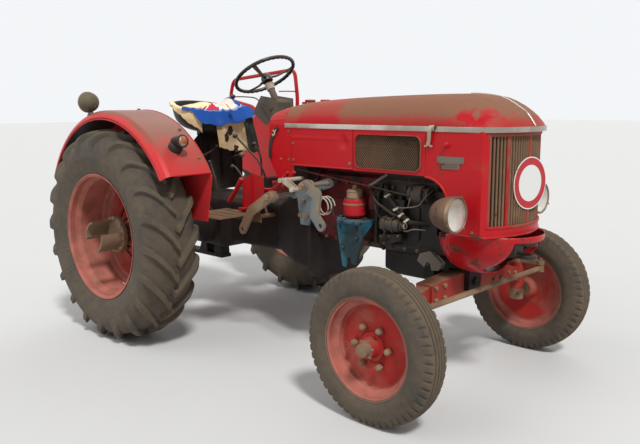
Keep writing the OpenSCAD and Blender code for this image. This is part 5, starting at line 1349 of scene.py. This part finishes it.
class TRACTOR_OT_lamps(Dresser, bpy.types.Operator):
    """Makes the headlamps, the fender lamps and the work lamp"""

    bl_idname = "tractor.lamps"
    bl_label = "Lamps"

    HEADLAMP = (2.33, -0.43, 1.005)

    def execute(self, context):
        x, y, z = self.HEADLAMP
        bowl = [
            (0.0845, -0.001), (0.089, -0.006), (0.0895, -0.02), (0.087, -0.04), (0.0805, -0.068),
            (0.067, -0.1),
            (0.044, -0.128), (0.02, -0.143), (0.001, -0.147),
        ]
        trim = [
            (0.079, 0.003), (0.083, 0.007), (0.0885, 0.004), (0.0915, -0.004), (0.0905, -0.014),
            (0.088, -0.014),
            (0.0845, -0.004),
        ]
        glass = [(0.001, 0.0085), (0.03, 0.0078), (0.06, 0.0048), (0.0805, 0.0005), (0.0805, -0.004),
            (0.001, -0.004)]
        arm = tube([(x - 0.12, y + 0.012, z - 0.012), (x - 0.16, y + 0.09, z - 0.025), (2.15, y + 0.2, 0.957),
                    (2.13, -0.155, 0.955)], 0.024)
        post = turned([(0.017, 0.8356), (0.017, 0.965), (0.001, 0.967)], (2.13, -0.155, 0), "z", 24)
        foot = tube([(x - 0.075, y, z - 0.08), (x - 0.08, y + 0.01, z - 0.105)], 0.02)
        nut = heads([(x - 0.078, y + 0.004, z - 0.1)], (0, 0, -1), 0.024, 0.016)
        around = [(x + 0.002, y + 0.0895 * math.cos(a), z + 0.0895 * math.sin(a)) for a in (1.2, 3.6, 5.4)]
        screws = heads(around, (1, 0, 0), 0.011, 0.006, 8)
        wire = tube([(x - 0.13, y + 0.01, z + 0.02), (x - 0.165, y + 0.06, z + 0.015), (2.15, -0.24, 1.0),
                     (2.11, -0.17, 0.95), (2.1, -0.16, 0.86)], 0.007)
        pair("headlamp_bowl", "lamp bowl", turned(bowl, (x, y, z), "x", 56, smooth=4), sharp=60,
             replaces="headlamp", slot="dusty_steel")
        pair("headlamp_rim", "lamp rim", turned(trim, (x, y, z), "x", 56, closed=True), screws)
        pair("headlamp_glass", "lens", turned(glass, (x, y, z), "x", 56))
        pair("headlamp_arm", "casting paint", arm, post, foot, nut)
        pair("headlamp_wire", "hose rubber", wire)
        self.fender_lamps()
        self.work_lamp()
        return {"FINISHED"}

    def fender_lamps(self):
        """A boot that stands square to the fender and a tube that
        points forward, with a two-coloured lens."""
        a = math.radians(46)
        root = on_fender(a, -0.79)
        head = root + 0.055 * np.array([math.cos(a), 0, math.sin(a)])
        boot = [(0.001, 0.0), (0.045, 0.0), (0.0455, 0.006), (0.043, 0.011), (0.043, 0.03), (0.035, 0.042),
            (0.001, 0.05)]
        body = [
            (0.001, -0.042), (0.028, -0.04), (0.037, -0.03), (0.038, 0.036), (0.04, 0.038), (0.04, 0.048),
            (0.035, 0.05), (0.001, 0.05),
        ]
        glass = [(0.001, 0.058), (0.018, 0.056), (0.031, 0.05), (0.033, 0.044), (0.001, 0.044)]
        boot = leaned(turned(boot, axis="z", n=36), 44, root)
        body, glass = (leaned(turned(profile, axis="x", n=36), -8, head) for profile in (body, glass))
        make("fender_lamp_bodies", "black steel", *both(boot, body), replaces="fender_lamps",
            slot="black_steel", sharp=50)
        make("fender_lamp_glass", "amber lens", *both(glass), sharp=60)

    def work_lamp(self):
        """The bowl of revolution looks back; its stud stands on the fender's crown."""
        x, y = -0.235, -0.89
        bowl = [
            (0.061, 0.001), (0.066, -0.004), (0.067, -0.02), (0.0655, -0.03), (0.058, -0.056), (0.036, -0.08),
            (0.001, -0.092),
        ]
        rim = [(0.057, 0.002), (0.066, 0.004), (0.0695, -0.004), (0.069, -0.018), (0.066, -0.018)]
        glass = [(0.001, 0.006), (0.03, 0.005), (0.059, 0.0), (0.059, -0.004), (0.001, -0.004)]
        stud = [(0.001, 0.0), (0.025, 0.0), (0.025, 0.006), (0.012, 0.008), (0.012, 0.062), (0.001, 0.062)]

        def placed(profile, **more):
            points, faces = turned(profile, axis="x", n=44, **more)
            return points * (-1, 1, 1) + (x - 0.045, y, REAR_R + FENDER_R + 0.052), faces

        tilt = math.asin(x / FENDER_R)
        foot = on_fender(math.pi / 2 - tilt, y)
        stud = leaned(turned(stud, axis="z", n=24), math.degrees(tilt), foot)
        nut = leaned(heads([(0, 0, 0.006)], (0, 0, 1), 0.036, 0.014), math.degrees(tilt), foot)
        make("work_lamp_bowl", "drab lamp", placed(bowl, smooth=4), stud, nut, replaces="work_lamp",
            slot="drab_lamp", sharp=50)
        make("work_lamp_rim", "lamp rim", placed(rim, closed=True))
        make("work_lamp_glass", "lens", placed(glass))


class TRACTOR_OT_engine_bay(Dresser, bpy.types.Operator):
    """Adds the filter, starter, dynamo, hoses, wires and bolts that show in the open engine bay"""

    bl_idname = "tractor.engine_bay"
    bl_label = "Engine bay"

    SIDE = -0.165

    def execute(self, context):
        s = self.SIDE
        can, starter, dynamo = (1.506, s - 0.056, 0), (0, s - 0.034, 0.868), (0, s - 0.034, 1.052)

        def across(centre, x, radius, angles):
            return [(x, centre[1] + radius * math.cos(a), centre[2] + radius * math.sin(a)) for a in angles]

        body = [(0.001, 0.889), (0.055, 0.889), (0.0655, 0.902), (0.0655, 0.985), (0.06, 0.996),
            (0.001, 0.999)]
        make("filter_can", "can paint", turned(body, can, "z", 40), slot="red_paint")
        cap = [
            (0.001, 0.996), (0.047, 0.996), (0.048, 1.006), (0.0455, 1.01), (0.0455, 1.034), (0.048, 1.037),
            (0.036, 1.048), (0.014, 1.047), (0.0135, 1.06), (0.001, 1.061),
        ]
        band = turned([(0.0655, 0.958), (0.0675, 0.96), (0.0675, 0.968), (0.0655, 0.97)], can, "z",
            40, closed=True)
        bolt = heads([(can[0], can[1], 1.06)], (0, 0, 1), 0.02, 0.012)
        make("filter_cap", "tan steel", turned(cap, can, "z", 40), band, bolt)
        body = [
            (0.001, 1.696), (0.03, 1.697), (0.039, 1.702), (0.039, 1.72), (0.046, 1.721), (0.046, 1.735),
            (0.039, 1.736), (0.039, 1.774), (0.046, 1.775), (0.046, 1.787), (0.039, 1.788), (0.038, 1.826),
            (0.03, 1.833), (0.022, 1.834), (0.022, 1.847), (0.001, 1.847),
        ]
        bolts = heads(across(starter, 1.72, 0.042, (2.6, 3.6, 4.6)), (-1, 0, 0), 0.014, 0.01)
        make("starter", "grey iron", turned(body, starter, "x", 40), bolts, sharp=50)
        end = [(0.014, 1.847), (0.017, 1.849), (0.017, 1.856), (0.014, 1.858), (0.009, 1.856), (0.009, 1.849)]
        make("starter_ring", "pale metal", turned(end, starter, "x", 24, closed=True))
        body = [
            (0.001, 1.891), (0.04, 1.892), (0.047, 1.897), (0.047, 1.901), (0.051, 1.902), (0.051, 1.913),
            (0.047, 1.914), (0.047, 1.97), (0.049, 1.972), (0.049, 1.982), (0.04, 1.987), (0.001, 1.987),
        ]
        fan = [
            (0.016, 1.998), (0.04, 1.998), (0.041, 2.003), (0.03, 2.007), (0.041, 2.011), (0.04, 2.018),
            (0.001, 2.018), (0.001, 1.998),
        ]
        bolts = heads(across(dynamo, 1.987, 0.036, (0.6, 2.2, 3.8, 5.4)), (1, 0, 0), 0.012, 0.008)
        make("dynamo", "grey iron", turned(body, dynamo, "x", 44), turned(fan, dynamo, "x", 36),
            bolts, sharp=50)
        clamps = []
        band = [(0.0155, -0.006), (0.0175, -0.006), (0.0175, 0.006), (0.0155, 0.006)]
        band = turned(band, axis="z", n=20, closed=True)
        for start, finish in (((1.724, 1.05), (1.828, 0.936)), ((1.828, 0.936), (1.892, 0.892))):
            for t in (0.2, 0.8):
                run = finish[0] - start[0], finish[1] - start[1]
                spot = (start[0] + t * run[0], s - 0.049, start[1] + t * run[1])
                clamps.append(leaned(band, math.degrees(math.atan2(*run)), spot))
                clamps.append(heads([np.array(spot) + (0, -0.017, 0)], (0, -1, 0), 0.012, 0.012, 8))
        make("hose_clamps", "pale metal", *clamps)
        wires = [tube([(1.841, s - 0.06, 0.978), (1.86, s - 0.075, 0.974), (1.963, s - 0.075, 0.994),
            (2.0, s - 0.075, 1.03), (2.021, s - 0.07, 1.056), (2.03, s - 0.03, 1.08)], 0.0065),
            tube([(1.9, s - 0.075, 0.98), (1.915, s - 0.08, 1.02), (1.92, s - 0.07, 1.045)], 0.006),
            tube([(1.62, s - 0.07, 1.075), (1.66, s - 0.09, 1.088), (1.7, s - 0.09, 1.112),
            (1.755, s - 0.07, 1.15)], 0.017), tube([(1.836, s - 0.03, 0.84), (1.88, s - 0.05, 0.845),
            (1.93, s - 0.06, 0.862), (1.98, s - 0.02, 0.858)], 0.008)]
        make("bay_pipes", "pipe grey", *wires)
        cables = [tube([(1.71, s - 0.07, 0.9), (1.69, s - 0.09, 0.95), (1.66, s - 0.06, 1.04),
            (1.63, s - 0.02, 1.12)], 0.009), tube([(1.925, s - 0.08, 1.075), (1.9, s - 0.07, 1.14),
            (1.84, s - 0.04, 1.17), (1.75, s - 0.03, 1.18)], 0.008),
            tube([(1.745, s - 0.075, 0.83), (1.73, s - 0.085, 0.78), (1.7, s - 0.06, 0.74)], 0.01)]
        make("bay_cables", "hose rubber", *cables)
        cover = heads([(x, s - 0.008, z) for z in (0.735, 1.075) for x in np.arange(1.24, 2.0, 0.085)],
            (0, -1, 0), 0.019, 0.01)
        pump = heads([(1.662 + 0.058 * k, s - 0.04, 0.955) for k in range(4)], (0, -1, 0), 0.016, 0.01)
        plate_bolts = heads([(x, s - 0.052, z) for x, z in ((1.7, 0.795), (1.76, 0.803), (1.82, 0.81),
            (1.72, 0.757))], (0, -1, 0), 0.015, 0.009)
        make("bay_bolts", "grey iron", cover, pump, plate_bolts)
        low = [(1.948, 0.692), (1.963, 0.727), (2.022, 0.747), (2.092, 0.692), (2.078, 0.66),
            (2.039, 0.655), (2.03, 0.69), (2.0, 0.7), (1.985, 0.668)]
        make("low_bracket", "pipe grey", plate(low, -0.203, -0.166), bevel=0.006)
        bolts = [heads([(1.43, -0.25, 0.8802), (1.6, -0.24, 0.8802), (1.5, -0.31, 0.8802)], (0, 0, 1),
            0.024, 0.012), heads([(1.475, -0.3182, 0.84), (1.6, -0.3182, 0.84), (1.6, -0.3182, 0.78),
            (1.5, -0.3182, 0.72)], (0, -1, 0), 0.022, 0.011)]
        make("hanger_bolts", "teal paint", *bolts)
        return {"FINISHED"}


class TRACTOR_OT_lift(Dresser, bpy.types.Operator):
    """Adds washers, nuts, links and the spring to the mower lift"""

    bl_idname = "tractor.lift"
    bl_label = "Lift fittings"

    def execute(self, context):
        for (x, z), word in (((1.03, 0.984), "rear"), ((1.331, 1.073), "front")):
            washers = [turned([(0.0145, -y), (r, -y), (r, -y - t), (0.0145, -y - t)], (x, 0, z), "y", 32,
                closed=True) for y, t, r in ((0.4415, -0.0042, 0.036), (0.436, -0.004, 0.031),
                (0.4305, -0.004, 0.036), (0.425, -0.004, 0.03))]
            nut = heads([(x, -0.4745, z)], (0, -1, 0), 0.036, 0.018)
            pin = tube([(x, -0.486, z - 0.025), (x, -0.486, z + 0.025)], 0.006, (0, 1, 0), 2)
            make(f"lift_washers_{word}", "tan steel", *washers)
            make(f"lift_nut_{word}", "tan steel", nut, pin)
        link = [strap([(1.1, y, 1.09), (1.15, y, 1.066), (1.206, y, 1.037)], 0.007, 0.03)
            for y in (-0.413, -0.387)]
        ends = [tube([(x, -0.43, z), (x, -0.24, z)], 0.024, (0, 0, 1), 2) for x,
            z in ((1.106, 1.087), (1.203, 1.038))]
        make("slotted_link", "pale metal", *link, *ends, heads([(1.106, -0.43, 1.087),
            (1.203, -0.43, 1.038)], (0, -1, 0), 0.026, 0.012))
        t = np.linspace(0, 2 * math.pi * 2.2, 70)
        coil = np.stack([1.336 + 0.052 * np.cos(t), -0.262 - 0.0045 * t, 0.944 + 0.052 * np.sin(t)], -1)
        make("lift_coil", "pale metal", capped(along(coil, circle(0.0042, 10))))
        drop = [tube([(1.29, -0.27, 1.04), (1.284, -0.28, 0.96), (1.283, -0.28, 0.9)], 0.012),
            tube([(1.376, -0.28, 0.99), (1.385, -0.28, 0.93), (1.384, -0.27, 0.885)], 0.009)]
        make("lift_rods", "grey iron", *drop)
        bolts = heads([(1.09, -0.2505, 0.86), (1.15, -0.2505, 0.86), (1.12, -0.2505, 0.95),
            (1.2, -0.2505, 1.0)], (0, -1, 0), 0.026, 0.013)
        make("lift_bolts", "tan steel", bolts)
        return {"FINISHED"}


class TRACTOR_OT_bodywork(Dresser, bpy.types.Operator):
    """Adds the fenders' beads and bolts, the handrail's feet
    and cross rod, and bolts on the frame and axle"""

    bl_idname = "tractor.bodywork"
    bl_label = "Bodywork and axle fittings"

    def execute(self, context):
        a = np.radians(np.linspace(32.2, 151.8, 60))
        lip, inner = on_fender(a, -0.953, -0.055), on_fender(a, -0.6195, -0.002)
        lead = [on_fender(math.radians(32.1), y, -0.002) for y in (-0.62, -0.7, -0.8, -0.89)]
        beads = capped(along(lip, circle(0.0055, 8))), capped(along(inner, circle(0.005, 8)))
        make("fender_beads", "red paint", *both(*beads, tube(lead, 0.011, (0, 0, 1))))
        places = [on_fender(t, -0.655, 0.0005) for t in np.radians([40, 58, 92, 118, 140])]
        make("fender_bolts", "tan steel", *both(heads(places, (0, 0, 1), 0.02, 0.009)))
        feet = []
        foot = [(0.0155, 0.0), (0.036, 0.0), (0.036, 0.006), (0.02, 0.009), (0.0155, 0.02)]
        foot = turned(foot, axis="z", n=28, closed=True)
        screws = heads([(0.026, 0, 0.006), (-0.026, 0, 0.006), (0, 0.026, 0.006)], (0, 0, 1), 0.014, 0.008)
        for x in (-0.335, 0.13):
            b = math.acos(x / FENDER_R)
            feet += [leaned(shape, 90 - math.degrees(b), on_fender(b, 0.67)) for shape in (foot, screws)]
        make("handrail_feet", "red paint", *feet)
        rod = [(0.125, 0.67, 1.63), (0.12, 0.6, 1.632), (0.11, 0.5, 1.63)]
        make("handrail_rod", "red paint", tube(rod, 0.009, (1, 0, 0)))
        beam = [(2.1505, y, 0.567 + z) for y in (-0.33, -0.25, 0.25, 0.33) for z in (-0.035, 0.03)]
        ends = [(2.1365, side * y, z) for side in (-1, 1) for y, z in ((0.44, 0.545), (0.52, 0.53))]
        make("axle_bolts", "tan steel", heads(beam, (1, 0, 0), 0.024, 0.013),
            heads(ends, (1, 0, 0), 0.022, 0.012))
        pin = [(0.001, 2.176), (0.02, 2.176), (0.026, 2.17), (0.026, 2.152), (0.001, 2.152)]
        make("axle_pin", "tan steel", turned(pin, (0, 0, 0.577), "x", 28))
        return {"FINISHED"}


class TRACTOR_OT_seat(Dresser, bpy.types.Operator):
    """Makes the seat pan with its foam, the cloth over it, the
    canvas that hangs from it and the frame below"""

    bl_idname = "tractor.seat"
    bl_label = "Seat"

    MIDDLE, WIDE, HIGH, TILT = -0.135, 0.52, 1.56, 0.11
    # depth under the rim, share of the rim's radius
    PAN = [(0.19, 0.3), (0.172, 0.6), (0.145, 0.8), (0.1, 0.93), (0.045, 0.99), (0.01, 1.0)]

    def loops(self, rows, degrees=(0, 360), n=96, closed=True):
        """Rows of (depth, share, inset): x = M + (0.48 W share - inset) cos a, y = (0.5 W
        share - inset) sin a, and z falls by the depth and towards the front by the tilt."""
        depth, share, inset = np.array(rows, float).T[:, :, None]
        a = np.radians(np.linspace(*degrees, n, endpoint=not closed))[None]
        x = self.MIDDLE + (share * 0.48 * self.WIDE - inset) * np.cos(a)
        y = (share * self.WIDE / 2 - inset) * np.sin(a)
        z = self.HIGH - depth - self.TILT * (0.5 + 0.5 * np.cos(a)) * share
        return np.stack([x, y, z], -1)

    def execute(self, context):
        outer = [(d, s, 0.0) for d, s in self.PAN]
        roll = [(0.006, 1.0, -0.006), (-0.001, 1.0, -0.008), (-0.006, 1.0, -0.004), (-0.005, 1.0, 0.001),
            (0.002, 1.0, 0.0035)]
        inner = [(d - 0.003 * (d > 0.1), s, 0.0035) for d, s in self.PAN[::-1]]
        pan = self.loops(np.vstack([curve(outer, 4), roll, curve(inner, 4)]))
        make("seat_shell", "black steel", capped(pan), replaces="seat_pan", sharp=70, slot="black_steel")
        self.foam()
        self.foam_flap()
        self.cloth(context)
        self.canvas()
        self.frame()
        return {"FINISHED"}

    def foam(self):
        """A crowned pad in the pan: its rows bulge over the middle, with low hollows from three sines."""
        rows = curve([(0.186, 0.3, 0.0036), (0.169, 0.6, 0.0036), (0.142, 0.8, 0.0036),
            (0.1, 0.925, 0.0045), (0.07, 0.935, 0.007), (0.05, 0.92, 0.012), (0.035, 0.85, 0.01),
            (0.022, 0.7, 0.0), (0.012, 0.48, 0.0), (0.006, 0.25, 0.0), (0.004, 0.04, 0.0)], 4)
        points = self.loops(rows)
        x, y = points[..., 0], points[..., 1]
        upper = np.clip((0.09 - rows[:, 0]) / 0.05, 0, 1)[:, None]
        waves = 0.006 * np.sin(31 * x + 3) * np.sin(27 * y) + 0.003 * np.sin(60 * x - 40 * y)
        points[..., 2] += upper * (waves - 0.004)
        pad = make("seat_foam", "foam", capped(points), replaces="seat_cushion", sharp=80, slot="seat_foam")

    def foam_flap(self):
        """The pad's loose edge: it comes over the pan's right rim
        and hangs outside it, lower towards the front."""
        u = np.linspace(0, 1, 60)[:, None]
        v = np.linspace(0, 1, 22)[None]
        a = np.radians(232 + 82 * u)
        drop = 0.004 + 0.125 * np.clip((82 * u - 24) / 57, 0, 1) ** 1.25
        drop = drop + (0.006 * np.sin(19 * u) + 0.004 * np.sin(53 * u)) * u
        # along v: from inside the rim, over it, and down outside
        way = np.clip((v - 0.3) / 0.7, 0, 1)
        depth = np.where(v < 0.3, 0.03 * (1 - v / 0.3) ** 2 - 0.017, -0.017 + (drop + 0.017) * way)
        share = np.interp(np.clip(depth, 0, 0.2), [0, 0.045, 0.1, 0.145, 0.172, 0.19],
            [1, 0.99, 0.93, 0.8, 0.6, 0.3]) * 0.6 + 0.4
        inset = 0.028 * (1 - np.clip(v / 0.36, 0, 1)) - 0.015 * np.clip(v / 0.36, 0,
            1) - 0.003 * np.sin(24 * u + 4 * v)
        x = self.MIDDLE + (share * 0.48 * self.WIDE - inset) * np.cos(a)
        y = (share * self.WIDE / 2 - inset) * np.sin(a)
        z = self.HIGH - depth - self.TILT * (0.5 + 0.5 * np.cos(a))
        face = np.stack([x, y, z], -1)
        nu = np.gradient(face, axis=0)
        nv = np.gradient(face, axis=1)
        normal = np.cross(nu, nv)
        normal /= np.linalg.norm(normal, axis=-1)[..., None]
        ring = np.concatenate([face + 0.0055 * normal, (face - 0.0055 * normal)[:, ::-1]], 1)
        flap = make("foam_edge", "foam", capped(ring), sharp=80, slot="seat_foam")
        soft = flap.modifiers.new("Smooth", "SUBSURF")
        soft.levels = soft.render_levels = 1

    def cloth(self, context):
        """A cloth that lies bunched on the pad and hangs over the rim. Along u the
        angle goes round the front; along v the share of the radius grows to the rim,
        and then the hem drops. Folds are sums of sines that grow to the hem."""
        u, v = np.meshgrid(np.linspace(0, 1, 124), np.linspace(0, 1, 66), indexing="ij")
        degrees = 283 + 133 * u
        a = np.radians(degrees)
        lying = np.clip(v / 0.6, 0, 1)
        way = np.clip((v - 0.6) / 0.4, 0, 1)
        start = np.interp(u, [0, 0.12, 0.3, 0.55, 0.8, 1], [0.8, 0.66, 0.42, 0.2, 0.3, 0.55])
        share = start + (1.045 - start) * lying
        flare = np.interp(degrees, [283, 300, 318, 350, 385, 416], [0.03, 0.07, 0.075, 0.05, 0.2, 0.44])
        depth = np.interp(share, [0.2, 0.48, 0.7, 0.86, 0.95, 1.045],
            [-0.004, -0.001, 0.001, -0.003, -0.02, -0.027])
        hem = np.interp(degrees, [283, 303, 311, 320, 345, 362, 378, 392, 416],
            [0.016, 0.022, 0.07, 0.1, 0.104, 0.085, 0.092, 0.07, 0.05])
        hem = hem * self.sizes(context).hem_drop
        fold = 0.0075 * np.sin(26 * u + 3 * v) + 0.0045 * np.sin(47 * u - 6 * v + 1)
        fold = fold + 0.003 * np.sin(83 * u + 9 * v)
        ripple = 0.0035 * np.sin(17 * v + 9 * u) * np.sin(21 * u + 2)
        rise = np.exp(-(((degrees - 396) / 26) ** 2) - ((share - 0.72) / 0.3) ** 2) * 0.088
        rise += np.exp(-(((degrees - 352) / 24) ** 2) - ((share - 0.8) / 0.22) ** 2) * 0.03
        sway = (0.3 * fold * (0.3 + way) + 0.012 * way * np.sin(31 * u)) * (way > 0) * way
        out = share + way * (flare + 0.03) + sway
        x = self.MIDDLE + out * 0.48 * self.WIDE * np.cos(a)
        y = out * self.WIDE / 2 * np.sin(a)
        lean = self.TILT * (0.5 + 0.5 * np.cos(a)) * np.clip(share, 0, 1)
        z = self.HIGH - depth - lean + rise + (1 - way) * np.abs(fold + ripple) * (0.4 + 0.6 * lying) + 0.002
        z -= hem * way ** (1 + 1.2 * np.clip(flare, 0, 0.4)) + 0.006 * way * np.sin(31 * u + 1)
        grid = np.stack([x, y, z], -1)
        cloth = make("seat_blanket", "blanket", surface(grid), replaces="seat_cloth", closed=False,
            sharp=180, slot="seat_cloth")
        layer = cloth.data.uv_layers.new(name="flat")
        corner = np.empty(len(cloth.data.loops), dtype=np.int32)
        cloth.data.loops.foreach_get("vertex_index", corner)
        layer.data.foreach_set("uv", np.stack([u, v], -1).reshape(-1, 2)[corner].ravel())
        wall(cloth, 0.0022, 1.0)

    def flat_size(self, grid):
        """The longest run each way over a grid, and its area: what a cloth was cut to."""
        along_u = (np.diff(grid, axis=0) ** 2).sum(-1) ** 0.5
        along_v = (np.diff(grid, axis=1) ** 2).sum(-1) ** 0.5
        patches = np.linalg.norm(np.cross(np.diff(grid, axis=0)[:, :-1], np.diff(grid, axis=1)[:-1]), axis=-1)
        return float(along_u.sum(0).max()), float(along_v.sum(1).max()), float(patches.sum())

    def canvas(self):
        """Two sheets that hang under the seat's front: flat cuts
        whose middle waves to and fro as they go down. The second, near-black sheet is painted shade that
        stands for the shaded side of the cushion."""
        for name, left, right, top, bottom, x0, finish in (
            ("seat_canvas", (-0.115, -0.1), (0.14, 0.2), (1.452, 1.458), (1.222, 1.178), 0.119, "canvas"),
            # painted shade: this near-black sheet stands for the shaded side of the cushion
            ("painted_shade_flap", (0.13, 0.165), (0.235, 0.285), (1.46, 1.45), (1.19, 1.17), 0.136, "painted shade cloth"),
        ):
            u, v = np.meshgrid(np.linspace(0, 1, 40), np.linspace(0, 1, 34), indexing="ij")
            y = (left[0] + (left[1] - left[0]) * v) * (1 - u) + (right[0] + (right[1] - right[0]) * v) * u
            z = (top[0] * (1 - u) + top[1] * u) * (1 - v) + (bottom[0] * (1 - u) + bottom[1] * u) * v
            ragged = 0.006 * np.sin(9 * u + 1) + 0.003 * np.sin(31 * u)
            x = x0 - 0.9 * (y - 0.03) ** 2 * (1 - 0.6 * v) + 0.012 * v * np.sin(7 * u + 2 * v)
            x = x + 0.004 * np.sin(17 * u - 3 * v)
            grid = np.stack([x, y, z + ragged * v], -1)
            piece = make(name, finish, surface(grid), closed=False, sharp=180, slot="seat_cloth")
            wall(piece, 0.002, 0.0)

    def frame(self):
        """The pressed frame under the pan with its flanges, and the brake lever and rods in front of it."""
        # painted shade in part: the black front plate is drawn down to about z 0.905 to close a dark, shaded
        # area under the seat
        front = plate([(-0.13, 0.903), (0.13, 0.903), (0.14, 0.905), (0.27, 0.905), (0.275, 1.2),
            (0.2, 1.33), (-0.12, 1.33), (-0.21, 1.25), (-0.2, 0.94), (-0.14, 0.93)], -0.078, -0.074, "yz")
        sides = [plate([(-0.3, 0.94), (-0.076, 0.94), (-0.076, top), (-0.3, top + 0.05)], y, y + 0.004)
            for y, top in ((-0.204, 1.25), (0.268, 1.2))]
        ribs = [tube([(-0.072, y, 1.01), (-0.07, y * 0.9, 1.17), (-0.072, y * 0.8, 1.31)], 0.012)
            for y in (-0.15, -0.05, 0.08, 0.2)]
        make("seat_frame", "seat black", front, *sides, *ribs, bevel=0.001)
        rods = [tube([(-0.06, 0.07, 1.07), (0.0, 0.07, 1.125), (0.06, 0.07, 1.15), (0.157, 0.07, 1.17)],
            0.015), tube([(-0.06, -0.11, 1.165), (-0.02, -0.06, 1.2), (-0.02, -0.015, 1.232)], 0.012),
            tube([(0.0, -0.1, 1.12), (0.02, -0.09, 1.06), (0.05, -0.09, 0.99), (0.06, -0.09, 0.92)], 0.016)]
        make("brake_rods", "grey iron", *rods, ball((0.0, -0.1, 1.12), 0.014))
        make("brake_knob", "plate metal", ball((0.162, 0.07, 1.171), 0.021),
            ball((-0.02, -0.015, 1.232), 0.011))


class TRACTOR_OT_stage(Dresser, bpy.types.Operator):
    """Sets up the plain floor, the soft studio light and the camera"""

    bl_idname = "tractor.stage"
    bl_label = "Stage"

    FLOOR_REACH = 60.0
    EYE = (4.1818, -3.3076, 1.5318)
    TURN, PITCH, ROLL = 43.74, 9.389, -0.299
    FOCAL_PIXELS = 712.9
    # name, strength, size in degrees, turn
    LAMPS = (("key", 2.5, 9.0, (38, 0, 62)), ("fill", 0.75, 50.0, (55, 0, -35)),
        ("back", 0.6, 50.0, (50, 0, 200)))

    def execute(self, context):
        scene = context.scene
        floor = Finish("plain floor", Roughness=0.9)
        pale = tuple(scene.tractor_finish.floor)
        floor.set(Base_Color=floor.mix(floor.noise(1.5, 3), pale, times(0.97, pale)))
        mesh = bpy.data.meshes.new("floor")
        far = self.FLOOR_REACH
        mesh.from_pydata([(-far, -far, 0), (far, -far, 0), (far, far, 0), (-far, far, 0)], [], [(0, 1, 2, 3)])
        plane = bpy.data.objects.new("floor", mesh)
        mesh.materials.append(floor.material)
        scene.collection.objects.link(plane)
        for name, energy, angle, turn in self.LAMPS:
            lamp = bpy.data.lights.new(name, "SUN")
            lamp.energy, lamp.angle = energy, math.radians(angle)
            holder = bpy.data.objects.new(name, lamp)
            holder.rotation_euler = [math.radians(t) for t in turn]
            scene.collection.objects.link(holder)
        self.sky(scene)
        self.camera(scene)
        scene.view_settings.view_transform = "Standard"
        return {"FINISHED"}

    def sky(self, scene):
        """A pale backdrop for the camera and for reflections, and a weaker light for the rest."""
        world = scene.world or bpy.data.worlds.new("World")
        scene.world = world
        world.use_nodes = True
        tree = world.node_tree
        tree.nodes.clear()

        def add(kind, **links):
            node = tree.nodes.new(kind)
            for number, socket in links.items():
                tree.links.new(socket, node.inputs[int(number[1:])])
            return node

        path = add("ShaderNodeLightPath").outputs
        seen = path["Is Camera Ray"]
        for ray in ("Is Glossy Ray", "Is Transmission Ray"):
            total = add("ShaderNodeMath", _0=seen, _1=path[ray])
            total.operation, total.use_clamp = "ADD", True
            seen = total.outputs[0]
        light, back = add("ShaderNodeBackground"), add("ShaderNodeBackground")
        for node, colour, strength in ((light, (1, 1, 1, 1), 0.42), (back, (0.9, 0.92, 0.94, 1), 1.0)):
            node.inputs["Color"].default_value, node.inputs["Strength"].default_value = colour, strength
        mix = add("ShaderNodeMixShader", _0=seen, _1=light.outputs[0], _2=back.outputs[0])
        add("ShaderNodeOutputWorld", _0=mix.outputs[0])

    def camera(self, scene):
        """The photograph's camera: its place, the way it looks and its focal length in pixels."""
        turn, pitch, roll = (math.radians(v) for v in (self.TURN, self.PITCH, self.ROLL))
        forward = Vector((-math.sin(turn) * math.cos(pitch), math.cos(turn) * math.cos(pitch),
            -math.sin(pitch)))
        right = Vector((math.cos(turn), math.sin(turn), 0))
        up = right.cross(forward)
        across = right * math.cos(roll) + up * math.sin(roll)
        upright = up * math.cos(roll) - right * math.sin(roll)
        data = bpy.data.cameras.new("camera")
        data.sensor_width = 36.0
        data.lens = self.FOCAL_PIXELS * data.sensor_width / PHOTO_WIDTH
        holder = bpy.data.objects.new("camera", data)
        spot = Vector(self.EYE) + Vector((AXLE_X, 0, 0))
        holder.matrix_world = Matrix.Translation(spot) @ Matrix((across, upright,
            -forward)).transposed().to_4x4()
        scene.collection.objects.link(holder)
        scene.camera = holder


class TRACTOR_PT_looks(bpy.types.Panel):
    """Lists the pieces of the tractor's looks"""

    bl_label = "Vintage tractor"
    bl_space_type = "VIEW_3D"
    bl_region_type = "UI"
    bl_category = "Tractor"

    def draw(self, context):
        for group in (context.scene.tractor_finish, context.scene.tractor_sizes):
            for name in group.__annotations__:
                self.layout.prop(group, name)
        for operator in STEPS:
            self.layout.operator(operator.bl_idname)


STEPS = (
    TRACTOR_OT_finishes,
    TRACTOR_OT_rear_tyres,
    TRACTOR_OT_front_tyres,
    TRACTOR_OT_wheel_fittings,
    TRACTOR_OT_bonnet,
    TRACTOR_OT_panels,
    TRACTOR_OT_nose,
    TRACTOR_OT_chin,
    TRACTOR_OT_steering,
    TRACTOR_OT_seat,
    TRACTOR_OT_controls,
    TRACTOR_OT_lamps,
    TRACTOR_OT_engine_bay,
    TRACTOR_OT_lift,
    TRACTOR_OT_bodywork,
    TRACTOR_OT_stage,
)
CLASSES = (TractorFinish, TractorSizes, *STEPS, TRACTOR_PT_looks)


def register():
    for one in CLASSES:
        bpy.utils.register_class(one)
    bpy.types.Scene.tractor_finish = bpy.props.PointerProperty(type=TractorFinish)
    bpy.types.Scene.tractor_sizes = bpy.props.PointerProperty(type=TractorSizes)


def unregister():
    del bpy.types.Scene.tractor_sizes
    del bpy.types.Scene.tractor_finish
    for one in reversed(CLASSES):
        bpy.utils.unregister_class(one)


def main():
    register()
    for step in STEPS:
        group, name = step.bl_idname.split(".")
        if getattr(getattr(bpy.ops, group), name)() != {"FINISHED"}:
            raise RuntimeError(f"{step.bl_label} didn't finish")


if __name__ == "__main__":
    main()
